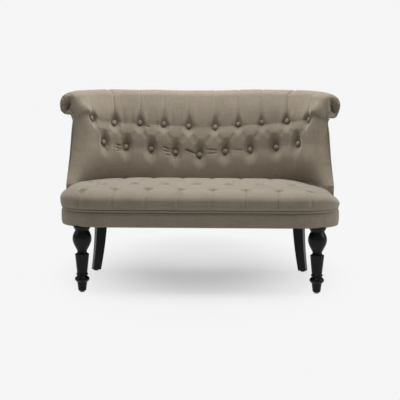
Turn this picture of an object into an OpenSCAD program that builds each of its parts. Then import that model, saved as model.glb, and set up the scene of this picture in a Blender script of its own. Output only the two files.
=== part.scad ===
// Two-seater sofa with a deep buttoned, scroll topped back that wraps round into short wings.
// Millimetres, +Z up, the front looks along -Y, origin on the floor under the middle.

/* [Seat] */
// Width of the seat cushion from side to side
seat_w = 1184; // [1080:1:1400]
// Depth of the seat from its front face to the outline of the back
seat_d = 582; // [540:1:700]
// Radius of the two front corners in plan
front_corner_r = 190; // [150:1:230]
// Radius of the two rear corners in plan
back_corner_r = 262; // [240:1:300]
// Height of the cushion's crown over the piping
crown_h = 112; // [100:1:140]
// Height of the cushion's upright side over the piping
side_h = 44; // [40:1:50]
// Thickness of the padding over the foam block at the cushion's sides
seat_skin = 30; // [26:1:40]
// Height of the foam block under the padding
seat_foam_h = 42; // [36:1:44]
// Thickness of the seat's deck cloth
deck_t = 1.5; // [1:0.5:3]

/* [Seat tufts] */
// From the last tuft of the front row to the cushion's side
tuft_side = 112.5; // [100:0.5:130]
// Distance of the front row of tufts behind the front face
tuft_front = 108; // [98:1:125]
// Distance between the rows of tufts
tuft_rows_gap = 105; // [85:1:110]
// Depth of a tuft under the crown
tuft_sink = 34; // [15:1:37]

/* [Trim] */
// Radius of the piping cord
piping_r = 5; // [3:0.5:6]
// How far the border and the outside cover stand in from the cushion's outline
trim_inset = 5; // [3:0.5:8]
// Thickness of the padded border and of the outside cover
cover_t = 8; // [5:0.5:10]
// Radius of the border's rolled lower edge
border_roll_r = 6; // [3:0.5:6]

/* [Back] */
// Height of the whole sofa
back_h = 854; // [820:1:920]
// Angle that the back leans, in degrees
back_lean = 8.5; // [5:0.5:11]
// Height over the piping where the back starts to lean
lean_start = 85; // [60:1:110]
// How far the wing's top comes forward of the outside back
wing_top_reach = 175; // [150:1:200]
// How far the wing comes forward of the outside back at the seat
wing_low_reach = 270; // [240:1:300]
// Height of the top of the wing's front edge
wing_top_z = 710; // [690:1:725]
// Thickness of the upholstered back, from the outside cover to its crown
pad_t = 80; // [76:1:90]
// Depth of the padding's rear face under the outside cover
pad_rear = 40; // [39:0.5:42]
// Length of the wing's rounded front edge
nose_len = 75; // [60:1:85]

/* [Buttons] */
// From the last button of the upper row to the wing's edge, along the padding
button_margin = 55.75; // [50:0.25:64]
// Radius of a covered button
button_r = 11; // [8:0.5:12]
// Height of a covered button's dome
button_h = 7; // [5:0.5:9]
// How deep a button is pulled under the padding's crown
button_sink = 25; // [15:1:28]
// Height of the upper row at its middle
top_row_z = 687; // [675:1:692]
// How much the upper row climbs towards its ends
top_row_rise = 36; // [10:1:38]
// Height of the lower row at its middle
low_row_z = 559; // [545:1:570]
// How much the lower row climbs towards its ends
low_row_rise = 55; // [20:1:58]
// Depth of the fold that joins the buttons of a row
fold_sink = 13; // [5:1:16]

/* [Scroll top] */
// Radius of the scroll behind the middle of the back
roll_r = 62; // [58:1:66]
// Radius of the scroll at the ends of the wings
roll_end_r = 55; // [51:1:57]
// How far the scroll's centre stands behind the outside cover
roll_out = 4; // [0:0.5:7]
// Radius of the wooden core inside the scroll
core_r = 38; // [34:0.5:40]
// Depth of the pleats that run from the upper buttons over the scroll
pleat_sink = 5; // [2:0.5:7]
// How far the gathered end of the scroll swells
gather_h = 14; // [8:1:18]
// Length over which the scroll's top rounds down to its ends
end_round = 260; // [200:10:300]

/* [Frame] */
// Height of the seat rails
rail_h = 60; // [50:1:70]
// Thickness of the seat rails
rail_t = 34; // [30:1:40]
// Width of the four corner blocks
corner_t = 50; // [46:1:60]
// Thickness of the back's posts and top rail
post_t = 22; // [18:1:22]
// Width of a back post
post_w = 40; // [30:1:50]
// Height of the back's top rail
top_rail_h = 58; // [40:1:70]
// Thickness of the bent plywood in the wings
ply_t = 12; // [9:1:16]
// Width of a webbing strap
strap_w = 50; // [40:1:60]
// Thickness of a webbing strap
strap_t = 2; // [1:0.5:2]
// Radius of a joint's dowel
dowel_r = 5; // [3:0.5:6]
// Length of a joint's dowel
dowel_l = 60; // [40:1:70]
// Width of the stretcher across the middle of the seat
stretcher_w = 45; // [30:1:60]
// Height of that stretcher
stretcher_h = 42; // [30:1:46]

/* [Legs] */
// Height of the frame's underside over the floor
leg_h = 273; // [240:1:300]
// Distance of a front leg's axis from the cushion's side
front_leg_side = 110; // [105:1:118]
// Distance of a front leg's axis behind the front face
front_leg_front = 62; // [58:1:68]
// Greatest radius of the front leg's vase
vase_r = 38.8; // [34:0.1:42]
// Radius of the front leg's top collar
collar_r = 35.5; // [32:0.5:37]
// Radius of the front leg's foot where it is narrowest
toe_r = 16.2; // [13:0.1:18]
// Distance of a rear leg's top from the cushion's side
rear_leg_side = 133; // [128:1:140]
// Distance of a rear leg's top ahead of the back's outline
rear_leg_back = 72; // [68:1:78]
// Width of a rear leg at its top
rear_leg_top = 50; // [40:1:52]
// Width of a rear leg at its foot
rear_leg_foot = 38; // [28:1:42]
// How far a rear leg sweeps outwards and back
rear_leg_sweep = 90; // [60:1:110]
// Direction of that sweep, in degrees from straight back
rear_leg_turn = 22; // [10:1:30]
// Radius of a glide under a leg
glide_r = 10; // [7:0.5:12]
// Height of a glide
glide_h = 6; // [4:0.5:8]
// Radius of the bolt that holds a leg
bolt_r = 4; // [3:0.5:5]
// How deep the bolt screws into a leg
bolt_in_leg = 40; // [25:1:50]
// How far the bolt stands above the leg
bolt_out = 50; // [40:1:56]

/* [Hidden] */
$fn = 64;

linen = [0.49, 0.45, 0.40];
linen_shade = [0.44, 0.40, 0.35];
black_satin = [0.10, 0.09, 0.09];
beech = [0.80, 0.67, 0.48];
plywood = [0.76, 0.62, 0.43];
strap_tone = [0.30, 0.27, 0.24];
foam_tone = [0.90, 0.87, 0.74];
wadding_tone = [0.93, 0.92, 0.89];
zinc = [0.74, 0.75, 0.77];
felt_black = [0.14, 0.14, 0.14];
nylon = [0.85, 0.85, 0.83];

// Clearance between neighbouring pieces
gap = 0.3;
half_w = seat_w / 2;
pipe_z = leg_h + rail_h + piping_r + 2 * gap;
pipe_top = pipe_z + piping_r;
lean_z = pipe_top + lean_start;
tan_lean = tan(back_lean);

// Heights and radii of the scroll
roll_mid_z = back_h - roll_r;
roll_reach = tan_lean * (roll_mid_z - lean_z) + roll_out + roll_r - trim_inset;

// Plan of the seat, with the origin midway between the front face and the back of the scroll
y_front = -(seat_d + roll_reach) / 2;
y_back = y_front + seat_d;
back_y = y_back - back_corner_r;
front_y = y_front + front_corner_r;
back_half = half_w - back_corner_r;
front_half = half_w - front_corner_r;

// Inset of the frame from the cushion's outline, behind the border or the outside cover
frame_inset = trim_inset + cover_t + 2 * gap;
frame_off = cover_t + gap;
strap_off = frame_off + post_t + gap;
frame_top = leg_h + rail_h;
deck_z = frame_top + 2 * strap_t + 3 * gap;
foam_z = deck_z + deck_t + gap;

// Radius of the surface that the buttons sit on, round the rear corners
button_off = pad_t - button_sink;
tuft_r = back_corner_r - trim_inset - button_off;
wing_mid_r = tuft_r + button_off / 2;
top_count = 10;
low_count = 9;
button_pitch = (wing_t(wing_top_z) - button_margin) / ((top_count - 1) / 2);
top_end = (top_count - 1) / 2 * button_pitch;
low_end = (low_count - 1) / 2 * button_pitch;
button_flat = button_r + 1.5;
button_spread = 34;
fold_spread = 26;
pad_foot_z = foam_z;
shoulder_drop = 14;

// How far along the wing the plywood and the cover end, and the padding closes in on them
wing_shares = [0, 0.15, 0.3, 0.45, 0.6, 0.75, 0.9];
wing_stop = 0.6;
cover_stop = 0.9;
wing_wrap = 0.66;
edge_wrap = 0.94;
// Share of its radius that the scroll keeps at its rounded ends, how far short of the end they
// would close, and how far below the scroll's centre the end is gathered
end_share = 0.94;
end_blunt = 80;
gather_drop = 20;
// Clearance between layers that are bent round a corner
bend_gap = 1.5;
function rear_off(share) = share < wing_wrap ? pad_rear
    : share < edge_wrap ? cover_t + bend_gap : 0;

// Sides of the scroll's core, and the turn of the corner that its padding ends on
core_sides = 8;
core_step = 360 / core_sides;
core_turn = 288;

front_leg_x = half_w - front_leg_side;
front_leg_y = y_front + front_leg_front;
rear_leg_x = half_w - rear_leg_side;
rear_leg_y = y_back - rear_leg_back;
rear_sweep = [rear_leg_sweep * sin(rear_leg_turn), rear_leg_sweep * cos(rear_leg_turn)];

function clamp(v) = max(0, min(1, v));
function lerp(a, b, f) = a + (b - a) * f;
function last(list) = list[len(list) - 1];
function back_to_front(list) = [for (i = [len(list) - 1:-1:0]) list[i]];

// The back is laid out by a run t along its buttoned surface: straight behind the seat,
// round the corner, then straight forward. r is the radius from the corner's centre.
function turn(t) = min(90, max(0, (abs(t) - back_half) / tuft_r * 180 / PI));
function ahead(t) = max(0, abs(t) - back_half - tuft_r * PI / 2);
function plan(t, r) = [
    sign(t) * (min(abs(t), back_half) + r * sin(turn(t))),
    back_y + r * cos(turn(t)) - ahead(t)
];

// Radius of the outside cover's face, which leans back behind the seat and not at the wings
function outer(t, z) = back_corner_r - trim_inset
    + tan_lean * pow(cos(turn(t)), 2) * max(0, z - lean_z);
function at(t, z, off) = let (p = plan(t, outer(t, z) - off)) [p.x, p.y, z];

// Front edge of the wing, which sweeps back as it climbs
function wing_y(z) = y_back - wing_top_reach
    - (wing_low_reach - wing_top_reach) * pow(clamp((wing_top_z - z) / (wing_top_z - lean_z)), 2);
function wing_t(z) = let (rest = wing_y(z) - back_y)
    rest > 0 ? back_half + tuft_r * acos(rest / wing_mid_r) * PI / 180
             : back_half + tuft_r * PI / 2 - rest;

// A station is a run along the back, the share of what is left up to the wing's edge, and
// that share below the ledge where the cover passes under the padding
ledge_z = foam_z - gap - 1;
function run(s, z) = s[0]
    + sign(s[0]) * (z < ledge_z ? s[2] : s[1]) * (wing_t(z) - abs(s[0]));
function plain(list) = [for (t = list) [t, 0, 0]];
function shares(t, list) = [for (v = list) [t, v, v]];
function both_sides(list) = concat(
    [for (s = back_to_front(list)) if (s[0] > 0) [-s[0], s[1], s[2]]],
    list
);

// Heights of the two rows of buttons along the run
function top_row(t) = let (past = clamp((abs(t) - top_end) / (wing_t(wing_top_z) - top_end)))
    top_row_z + top_row_rise * pow(min(abs(t), top_end) / top_end, 2) - shoulder_drop * past;
function low_row(t) = low_row_z + low_row_rise * pow(min(abs(t), low_end) / low_end, 2);
function near_top(t) = (t < 0 ? -1 : 1)
    * min(top_end, (floor(abs(t) / button_pitch) + 0.5) * button_pitch);
function near_low(t) = sign(t) * min(low_end, round(abs(t) / button_pitch) * button_pitch);

// How far a button and a fold draw the padding in
function pit(dt, dz) = button_sink
    * pow(1 - clamp((max(abs(dt), abs(dz)) - button_flat) / button_spread), 1.5);
function fold(t, dz, row_end) = fold_sink * clamp(1 - abs(dz) / fold_spread)
    * clamp(1 - (abs(t) - row_end) / button_pitch);
function nose(t, z) = let (d = clamp((wing_t(z) - abs(t)) / nose_len))
    max(0.2, sqrt(1 - pow(1 - d, 2)));

// Depth of the padding's face under the outside cover's face
function swell(t, z) = let (zt = top_row(t), zl = low_row(t)) nose(t, z) * (pad_t - max(
    pit(t - near_top(t), z - zt), pit(t - near_low(t), z - zl),
    fold(t, z - zt, top_end), fold(t, z - zl, low_end)
));

// Scroll: radius, centre height and centre at a run t
function scroll_r(t) = roll_r - (roll_r - roll_end_r) * pow(sin(turn(t)), 2);
function scroll_z(t) = roll_mid_z - (roll_r - roll_end_r) / 2 * pow(sin(turn(t)), 2);
function scroll_c(t) = [outer(t, scroll_z(t)) + roll_out, scroll_z(t)];

// Height of a point of the scroll after its ends are rounded off: what stands over the gather
// sinks towards it by a quarter ellipse, which stops a little short of closing
function settled(t, z) = let (
        rest = wing_t(wing_top_z) - abs(t) + end_blunt,
        sunk = 1 - sqrt(1 - pow(clamp(1 - rest / end_round), 2))
    )
    z - sunk * max(0, z - scroll_z(t) + gather_drop);

// Angle where the scroll's padding ends, tucked in on the cover's top edge
function tuck(t) = let (z = scroll_z(t), r = scroll_r(t))
    270 + asin((roll_out + cover_t - 2 + outer(t, z) - outer(t, z - r)) / r);

// The frame's top meets the core's lower side
function frame_end(t) = scroll_z(t) - sqrt(pow(core_r, 2) - pow(frame_off + roll_out, 2)) - gap;
function cover_end(t) = scroll_z(t) - scroll_r(t) - 2 * gap;

// Side of the wings at the seat: where the padding's face lies for an x, found by halving
function face_x(t) = plan(t, outer(t, lean_z) - pad_t * nose(t, lean_z)).x;
function face_run(x, low, high, steps) = let (mid = (low + high) / 2)
    steps == 0 ? mid : face_x(mid) < x ? face_run(x, mid, high, steps - 1)
                                       : face_run(x, low, mid, steps - 1);
function face_y(x) = let (t = face_run(abs(x), 0, wing_t(lean_z), 18))
    plan(t, outer(t, lean_z) - pad_t * nose(t, lean_z)).y;

// Solid through rings of points. Each ring is a near chain and, going back, a far chain, and
// the first and last rings are closed by a strip of triangles between their two chains.
function step_far(i, near_n, far_n) = min(far_n - 1, floor(i * far_n / (near_n - 1)));
function strip(near_n, far_n, first, size) = concat(
    [for (i = [0:near_n - 2])
        [first + i, first + i + 1, first + size - 1 - step_far(i, near_n, far_n)]],
    [for (j = [0:far_n - 2])
        [first + ceil((j + 1) * (near_n - 1) / far_n), first + size - 2 - j, first + size - 1 - j]]
);
function flipped(faces) = [for (f = faces) [f[0], f[2], f[1]]];

module ring_solid(rings, near_n, turned = false) {
    size = len(rings[0]);
    end = (len(rings) - 1) * size;
    sides = [for (s = [0:len(rings) - 2], p = [0:size - 1])
        let (a = s * size + p, b = s * size + (p + 1) % size) each
        [[a, b, b + size], [a, b + size, a + size]]];
    faces = concat(
        sides,
        flipped(strip(near_n, size - near_n, 0, size)),
        strip(near_n, size - near_n, end, size)
    );
    polyhedron([for (r = rings) each r], turned ? flipped(faces) : faces);
}

// Layer of the back between two depths, over heights that depend on the run
module back_layer(stations, heights, near_off, far_off) {
    ring_solid([for (s = stations) let (zs = heights(s)) concat(
        [for (z = zs) at(run(s, z), z, near_off(s))],
        [for (z = back_to_front(zs)) at(run(s, z), z, far_off(s))]
    )], len(heights(stations[0])));
}

// Piece of the straight part of the back, prismatic along X
module back_bar(x0, x1, z0, z1, off0, off1) {
    zs = [z0, if (z0 < lean_z && z1 > lean_z) lean_z, z1];
    translate([x0, 0, 0]) rotate([90, 0, 90]) linear_extrude(x1 - x0) polygon(concat(
        [for (z = zs) [back_y + outer(0, z) - off1, z]],
        [for (z = back_to_front(zs)) [back_y + outer(0, z) - off0, z]]
    ));
}

// Outline of the seat, drawn in by inset
module seat_plan(inset) {
    for (side = [-1, 1]) {
        translate([side * front_half, front_y]) circle(front_corner_r - inset);
        translate([side * back_half, back_y]) circle(back_corner_r - inset);
    }
    translate([-front_half, y_front + inset]) square([2 * front_half, front_corner_r - inset]);
    translate([-half_w + inset, front_y]) square([seat_w - 2 * inset, back_y - front_y]);
    translate([-back_half, back_y]) square([2 * back_half, back_corner_r - inset]);
}

// Section carried round the seat's front and sides, drawn as [distance out from the corner's
// centre, height]
module round_front() {
    side_end = y_back - wing_low_reach - gap;
    for (side = [0, 1]) mirror([side, 0, 0]) translate([front_half, 0, 0]) {
        translate([0, front_y, 0]) rotate([0, 0, -90]) rotate_extrude(angle = 90, $fn = 96)
            children();
        translate([0, side_end, 0]) rotate([90, 0, 0]) linear_extrude(side_end - front_y)
            children();
    }
    translate([front_half, front_y, 0]) rotate([90, 0, -90]) linear_extrude(2 * front_half)
        children();
}

// Front leg: turned, with a tapered shaft between two beads and a vase under its collar
leg_turn_h = leg_h - glide_h;
function bead(z0, z1, r0, swell_r, steps) = [for (i = [0:steps])
    [r0 + swell_r * sin(180 * i / steps), lerp(z0, z1, i / steps)]];
function eased(z0, z1, r0, r1, power, steps) = [for (i = [0:steps])
    [lerp(r0, r1, pow(sin(90 * i / steps), power)), lerp(z0, z1, i / steps)]];

shaft_r = 28.7;
shaft_low_r = 21.5;
neck_r = 19;
vase_top_r = 28.5;
foot_bead_r = 9;

module turned_leg() {
    h = leg_turn_h;
    profile = concat(
        [[0, 0], [toe_r - 1.5, 0], [toe_r, 1.5], [toe_r + 3.8, 0.12 * h]],
        bead(0.135 * h, 0.23 * h, toe_r + 5, foot_bead_r, 10),
        bead(0.24 * h, 0.275 * h, shaft_low_r, 3, 6),
        [[shaft_low_r, 0.3 * h], [shaft_r, 0.56 * h], [shaft_r, 0.57 * h]],
        [[neck_r + 2, 0.585 * h]],
        eased(0.61 * h, 0.81 * h, neck_r, vase_r, 1.2, 10),
        [for (i = [1:6]) [lerp(vase_top_r, vase_r, cos(15 * i)), lerp(0.81 * h, 0.93 * h, i / 6)]],
        [[vase_top_r, 0.94 * h], [collar_r, 0.985 * h], [collar_r, h], [0, h]]
    );
    translate([0, 0, glide_h]) difference() {
        rotate_extrude($fn = 96) polygon(profile);
        translate([0, 0, h - bolt_in_leg]) cylinder(r = bolt_r + gap / 2, h = bolt_in_leg + 1);
    }
}

// Rear leg: square, tapered, swept outwards and back in a growing curve
chamfer = 3;
rear_leg_steps = 10;
function square_ring(half) = [for (q = [0:3]) each
    let (c = cos(90 * q), s = sin(90 * q), a = [half, -half + chamfer], b = [half, half - chamfer])
    [[c * a.x - s * a.y, s * a.x + c * a.y], [c * b.x - s * b.y, s * b.x + c * b.y]]];

module swept_leg() {
    rings = [for (i = [0:rear_leg_steps])
        let (
            f = i / rear_leg_steps,
            half = lerp(rear_leg_foot, rear_leg_top, f) / 2,
            out = rear_leg_sweep * pow(1 - f, 1.7)
        )
        [for (p = square_ring(half)) [p.x, p.y + out, lerp(glide_h, leg_h, f)]]];
    difference() {
        translate([rear_leg_x, rear_leg_y, 0]) rotate([0, 0, -rear_leg_turn])
            ring_solid(rings, 4, true);
        translate([rear_leg_x, rear_leg_y, leg_h - bolt_in_leg])
            cylinder(r = bolt_r + gap / 2, h = bolt_in_leg + 1);
    }
}

// The two leg tops of one side, for bolts and bores
module at_leg_tops() {
    translate([front_leg_x, front_leg_y, 0]) children();
    translate([rear_leg_x, rear_leg_y, 0]) children();
}
module both() {
    children();
    mirror([1, 0, 0]) children();
}

module front_leg_right() { color(black_satin) translate([front_leg_x, front_leg_y, 0]) turned_leg(); }
module front_leg_left() { color(black_satin) mirror([1, 0, 0])
    translate([front_leg_x, front_leg_y, 0]) turned_leg(); }
module rear_leg_right() { color(black_satin) swept_leg(); }
module rear_leg_left() { color(black_satin) mirror([1, 0, 0]) swept_leg(); }

module glide() {
    rotate_extrude($fn = 48) polygon([
        [0, 0], [glide_r - 1.5, 0], [glide_r, 1.5], [glide_r, glide_h], [0, glide_h]
    ]);
}
module foot_glides() {
    color(nylon) both() {
        translate([front_leg_x, front_leg_y, 0]) glide();
        translate([rear_leg_x + rear_sweep.x, rear_leg_y + rear_sweep.y, 0]) glide();
    }
}

// Leg bolts, and the tee nuts let into the corner blocks
nut_flange_r = 11;
nut_flange_t = 1.5;
nut_barrel_r = bolt_r + 1.5;
nut_barrel_h = 10;
nut_sink = 6;
nut_z = frame_top - nut_sink;

module hanger_bolts() {
    color(zinc) both() at_leg_tops() translate([0, 0, leg_h - bolt_in_leg + gap])
        cylinder(r = bolt_r, h = bolt_in_leg + bolt_out - gap);
}
module tee_nuts() {
    color(zinc) both() at_leg_tops() difference() {
        union() {
            translate([0, 0, nut_z + gap]) cylinder(r = nut_flange_r, h = nut_flange_t);
            translate([0, 0, nut_z - nut_barrel_h]) cylinder(r = nut_barrel_r, h = nut_barrel_h + 1);
        }
        translate([0, 0, nut_z - nut_barrel_h - 1]) cylinder(r = bolt_r + gap / 2, h = nut_barrel_h + 9);
    }
}
module leg_bores() {
    at_leg_tops() {
        translate([0, 0, leg_h - 1]) cylinder(r = bolt_r + 2 * gap, h = rail_h + 2);
        translate([0, 0, nut_z - nut_barrel_h - gap])
            cylinder(r = nut_barrel_r + gap / 2, h = nut_barrel_h + 2);
        translate([0, 0, nut_z]) cylinder(r = nut_flange_r + gap, h = nut_sink + 1);
    }
}

// Dowels across the eight joints of the seat frame
rail_mid = frame_inset + rail_t / 2;
joints = [
    [front_half, y_front + rail_mid, 0], [half_w - rail_mid, front_y, 90],
    [half_w - rail_mid, back_y, 90], [back_half, y_back - rail_mid, 0]
];
module dowel_set(r, l) {
    for (j = joints, f = [0.27, 0.73])
        translate([j.x, j.y, leg_h + f * rail_h]) rotate([0, 0, j.z]) rotate([0, 90, 0])
            cylinder(r = r, h = l, center = true, $fn = 32);
}
module frame_dowels() { color(beech) both() dowel_set(dowel_r, dowel_l); }
module dowel_bores() { dowel_set(dowel_r + gap / 2, dowel_l + 2); }

module rail_box(x0, x1, y0, y1) {
    translate([x0, y0, leg_h]) cube([x1 - x0, y1 - y0, rail_h]);
}
module front_rail() {
    y = y_front + frame_inset;
    color(beech) difference() {
        rail_box(-front_half, front_half, y, y + rail_t);
        both() dowel_bores();
    }
}
module rear_rail() {
    y = y_back - frame_inset;
    color(beech) difference() {
        rail_box(-back_half, back_half, y - rail_t, y);
        both() dowel_bores();
    }
}
module side_rail() {
    x = half_w - frame_inset;
    difference() {
        rail_box(x - rail_t, x, front_y, back_y);
        dowel_bores();
    }
}
module side_rail_right() { color(beech) side_rail(); }
module side_rail_left() { color(beech) mirror([1, 0, 0]) side_rail(); }

// Quarter ring of a corner, from start degrees
module quarter(r, start) {
    rotate([0, 0, start]) rotate_extrude(angle = 90, $fn = 96)
        translate([r - frame_inset - corner_t, leg_h]) square([corner_t, rail_h]);
}
module front_corner() {
    difference() {
        translate([front_half, front_y, 0]) quarter(front_corner_r, -90);
        leg_bores();
        dowel_bores();
    }
}
module rear_corner() {
    difference() {
        translate([back_half, back_y, 0]) quarter(back_corner_r, 0);
        leg_bores();
        dowel_bores();
    }
}
module front_corner_right() { color(beech) front_corner(); }
module front_corner_left() { color(beech) mirror([1, 0, 0]) front_corner(); }
module rear_corner_right() { color(beech) rear_corner(); }
module rear_corner_left() { color(beech) mirror([1, 0, 0]) rear_corner(); }

module centre_stretcher() {
    y0 = y_front + frame_inset + rail_t;
    y1 = y_back - frame_inset - rail_t;
    color(beech) translate([-stretcher_w / 2, y0, leg_h]) cube([stretcher_w, y1 - y0, stretcher_h]);
}

// Webbing across the seat frame, resting on the inner edge of the rails
strap_rest = 10;
strap_inset = frame_inset + rail_t - strap_rest;
function reach_x(y) = y < front_y
    ? front_half + sqrt(pow(front_corner_r - strap_inset, 2) - pow(front_y - y, 2))
    : y > back_y ? back_half + sqrt(pow(back_corner_r - strap_inset, 2) - pow(y - back_y, 2))
                 : half_w - strap_inset;
function low_y(x) = abs(x) < front_half ? y_front + strap_inset
    : front_y - sqrt(pow(front_corner_r - strap_inset, 2) - pow(abs(x) - front_half, 2));
function high_y(x) = abs(x) < back_half ? y_back - strap_inset
    : back_y + sqrt(pow(back_corner_r - strap_inset, 2) - pow(abs(x) - back_half, 2));

long_straps = 5;
cross_straps = 9;
cross_pitch = (front_leg_x - strap_w) / ((cross_straps - 1) / 2);
strap_margin = 12;
module seat_webbing_long() {
    first = y_front + strap_inset + strap_margin + strap_w / 2;
    final = y_back - strap_inset - strap_margin - strap_w / 2;
    color(strap_tone) for (i = [0:long_straps - 1]) {
        y = lerp(first, final, i / (long_straps - 1));
        x = min(reach_x(y - strap_w / 2), reach_x(y + strap_w / 2));
        translate([-x, y - strap_w / 2, frame_top + strap_t + gap]) cube([2 * x, strap_w, strap_t]);
    }
}
module seat_webbing_cross() {
    color(strap_tone) for (i = [0:cross_straps - 1]) {
        x = (i - (cross_straps - 1) / 2) * cross_pitch;
        edge = abs(x) + strap_w / 2;
        translate([x - strap_w / 2, low_y(edge), frame_top])
            cube([strap_w, high_y(edge) - low_y(edge), strap_t]);
    }
}
module seat_deck() {
    color(wadding_tone) translate([0, 0, deck_z]) linear_extrude(deck_t) seat_plan(strap_inset);
}

// Foam block, kept inside the upholstered back and the wings
foam_clear = 14;
module seat_foam() {
    r = tuft_r - button_sink - foam_clear;
    wing_front = y_back - wing_low_reach - foam_clear;
    color(foam_tone) translate([0, 0, foam_z]) linear_extrude(seat_foam_h) intersection() {
        seat_plan(seat_skin + foam_clear);
        union() {
            translate([-half_w, y_front]) square([seat_w, wing_front - y_front]);
            translate([-back_half - r, wing_front])
                square([2 * (back_half + r), back_y - wing_front]);
            for (side = [-1, 1]) translate([side * back_half, back_y]) circle(r);
            translate([-back_half, back_y]) square([2 * back_half, r]);
        }
    }
}

// Tufted seat cushion: a crowned cover and its padding over the foam block
crown_run = 250;
crown_power = 0.4;
front_run = 400;
front_power = 1.25;
edge_rise = 22;
edge_soft = 12;
seat_back_gap = 2.5;
tuft_spread = 52;
tuft_fold = 9;
tuft_fold_w = 22;
seat_depth_in = face_y(0) - seat_back_gap - y_front;
side_cols = 3.5;
tuft_pitch = (half_w - tuft_side) / side_cols;
function edge_gap(x, y) = let (ax = abs(x)) ax > front_half && y < front_y
    ? front_corner_r - norm([ax - front_half, y - front_y])
    : min(half_w - ax, y - y_front);
function front_edge(x) = abs(x) < front_half ? y_front
    : front_y - sqrt(max(0, pow(front_corner_r, 2) - pow(abs(x) - front_half, 2)));
function rise(v) = 1 - pow(1 - clamp(v), 2);
// The crown rounds over a soft shoulder at the sewn edge, and climbs on gently towards the back
// and inwards from the sides
function crown(x, y) = side_h + edge_rise * (1 - exp(-edge_gap(x, y) / edge_soft))
    + (crown_h - side_h - edge_rise)
    * pow(rise((y - front_edge(x)) / front_run), front_power)
    * pow(rise(edge_gap(x, y) / crown_run), crown_power);
function off_line(v) = abs(v - round(v)) * tuft_pitch;
function seat_dip(x, n) = let (
        u = x / tuft_pitch,
        v = (n - tuft_front) / tuft_rows_gap,
        row = max(0, min(2, round(v))),
        col = row == 1 ? round(u) : floor(u) + 0.5,
        far = norm([x - col * tuft_pitch, n - tuft_front - row * tuft_rows_gap]),
        cols = row == 0 ? side_cols : row == 1 ? side_cols - 0.5 : side_cols - 1,
        sunk = abs(col) > cols ? 0 : tuft_sink * pow(1 - clamp(far / tuft_spread), 1.5),
        near = v < 0 ? off_line(u - 0.5)
            : v > 2 ? tuft_pitch : min(off_line(u + v / 2 - 0.5), off_line(u - v / 2 - 0.5)),
        crease = abs(u) > side_cols + 0.1 ? 0 : tuft_fold * (1 - clamp(near / tuft_fold_w))
    )
    max(sunk, crease);

module seat_pad() {
    front_steps = [0.05, 0.15, 0.32, 0.56];
    side_steps = [0.76, 0.55, 0.36, 0.2, 0.08, 0.018, 0];
    row_steps = [-0.25, 0, 0.25, 0.5, 0.75, 1, 1.25, 1.5, 1.75, 2, 2.25, 2.6, 3];
    insets = concat(
        [for (v = front_steps) v * tuft_front],
        [for (v = row_steps) tuft_front + v * tuft_rows_gap],
        [seat_depth_in]
    );
    low_z = pipe_top + gap;
    xs_half = concat(
        [for (i = [1:14]) i * tuft_pitch / 4],
        [for (v = side_steps) half_w - v * tuft_side]
    );
    xs = concat([for (x = back_to_front(xs_half)) -x], [0], xs_half);
    rings = [for (x = xs) let (
            y0 = front_edge(x),
            y1 = face_y(min(abs(x), half_w - 1)) - seat_back_gap,
            k = (y1 - y0) / seat_depth_in,
            end = abs(x) > half_w - 1,
            roof = half_w - abs(x) > seat_skin ? foam_z + seat_foam_h + gap : low_z,
            base = end ? low_z + side_h / 3 : low_z
        )
        concat(
            [[x, y0 + 4 * k, base], [x, y0, base + side_h / 3], [x, y0, pipe_top + crown(x, y0)]],
            [for (n = insets) let (y = y0 + n * k)
                [x, y, pipe_top + crown(x, y) - seat_dip(x, n) * (end ? 0 : 1)]],
            [[x, y1, max(roof, base)], [x, y0 + (seat_skin + 2) * k, max(roof, base)],
             [x, y0 + seat_skin * k, base]]
        )];
    color(linen) ring_solid(rings, 3 + len(insets));
}

module seat_piping() {
    color(linen_shade) round_front()
        translate([front_corner_r - trim_inset - 2, pipe_z]) circle(piping_r, $fn = 24);
}

border_bulge = 1.6;
module seat_border() {
    u = front_corner_r - trim_inset;
    top = frame_top + gap;
    steps = 8;
    r = border_roll_r;
    color(linen) round_front() polygon(concat(
        [[u - cover_t, top], [u - cover_t, leg_h]],
        [for (a = [0:30:90]) [u - border_bulge - r + r * sin(a), leg_h + r - r * cos(a)]],
        [for (i = [1:steps]) let (f = i / steps)
            [u - border_bulge * pow(2 * f - 1, 2), lerp(leg_h + r, top, f)]]
    ));
}

module dust_cover() {
    inset = frame_inset + 3;
    t = 1.2;
    leg_clear = 1;
    color(felt_black) translate([0, 0, leg_h - t]) linear_extrude(t) difference() {
        seat_plan(inset);
        both() {
            translate([front_leg_x, front_leg_y]) circle(collar_r + leg_clear);
            translate([rear_leg_x, rear_leg_y]) rotate(-rear_leg_turn)
                square(rear_leg_top + 2 * leg_clear, center = true);
        }
    }
}

// Frame of the back: four posts and a top rail behind the seat, bent plywood in the wings
frame_peak = frame_end(0);
post_clear = 15;
post_x = [back_half / 3, back_half - post_w / 2 - post_clear];
module back_posts() {
    color(beech) both() for (x = post_x)
        back_bar(x - post_w / 2, x + post_w / 2, frame_top, frame_peak - top_rail_h,
            frame_off, frame_off + post_t);
}
module back_top_rail() {
    color(beech) back_bar(-back_half, back_half, frame_peak - top_rail_h, frame_peak,
        frame_off, frame_off + post_t);
}

// Runs at which the bent pieces turn round a rear corner
turn_step = 18.5;
wing_turns = [for (i = [1:9]) back_half + gap + i * turn_step];
wing_levels = [for (f = [0.25, 0.47, 0.65, 0.79, 0.93]) lerp(lean_z, wing_top_z, f)];
module wing_panel() {
    stations = concat(
        plain([back_half + gap]), plain(wing_turns),
        shares(top_end, [for (v = wing_shares) if (v <= wing_stop) v])
    );
    color(plywood) back_layer(
        stations,
        function (s) concat([frame_top, lean_z], wing_levels, [frame_end(run(s, wing_top_z))]),
        function (s) frame_off + 2 * gap + ply_t,
        function (s) frame_off + 2 * gap
    );
}
module wing_panel_right() { wing_panel(); }
module wing_panel_left() { mirror([1, 0, 0]) wing_panel(); }

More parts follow.
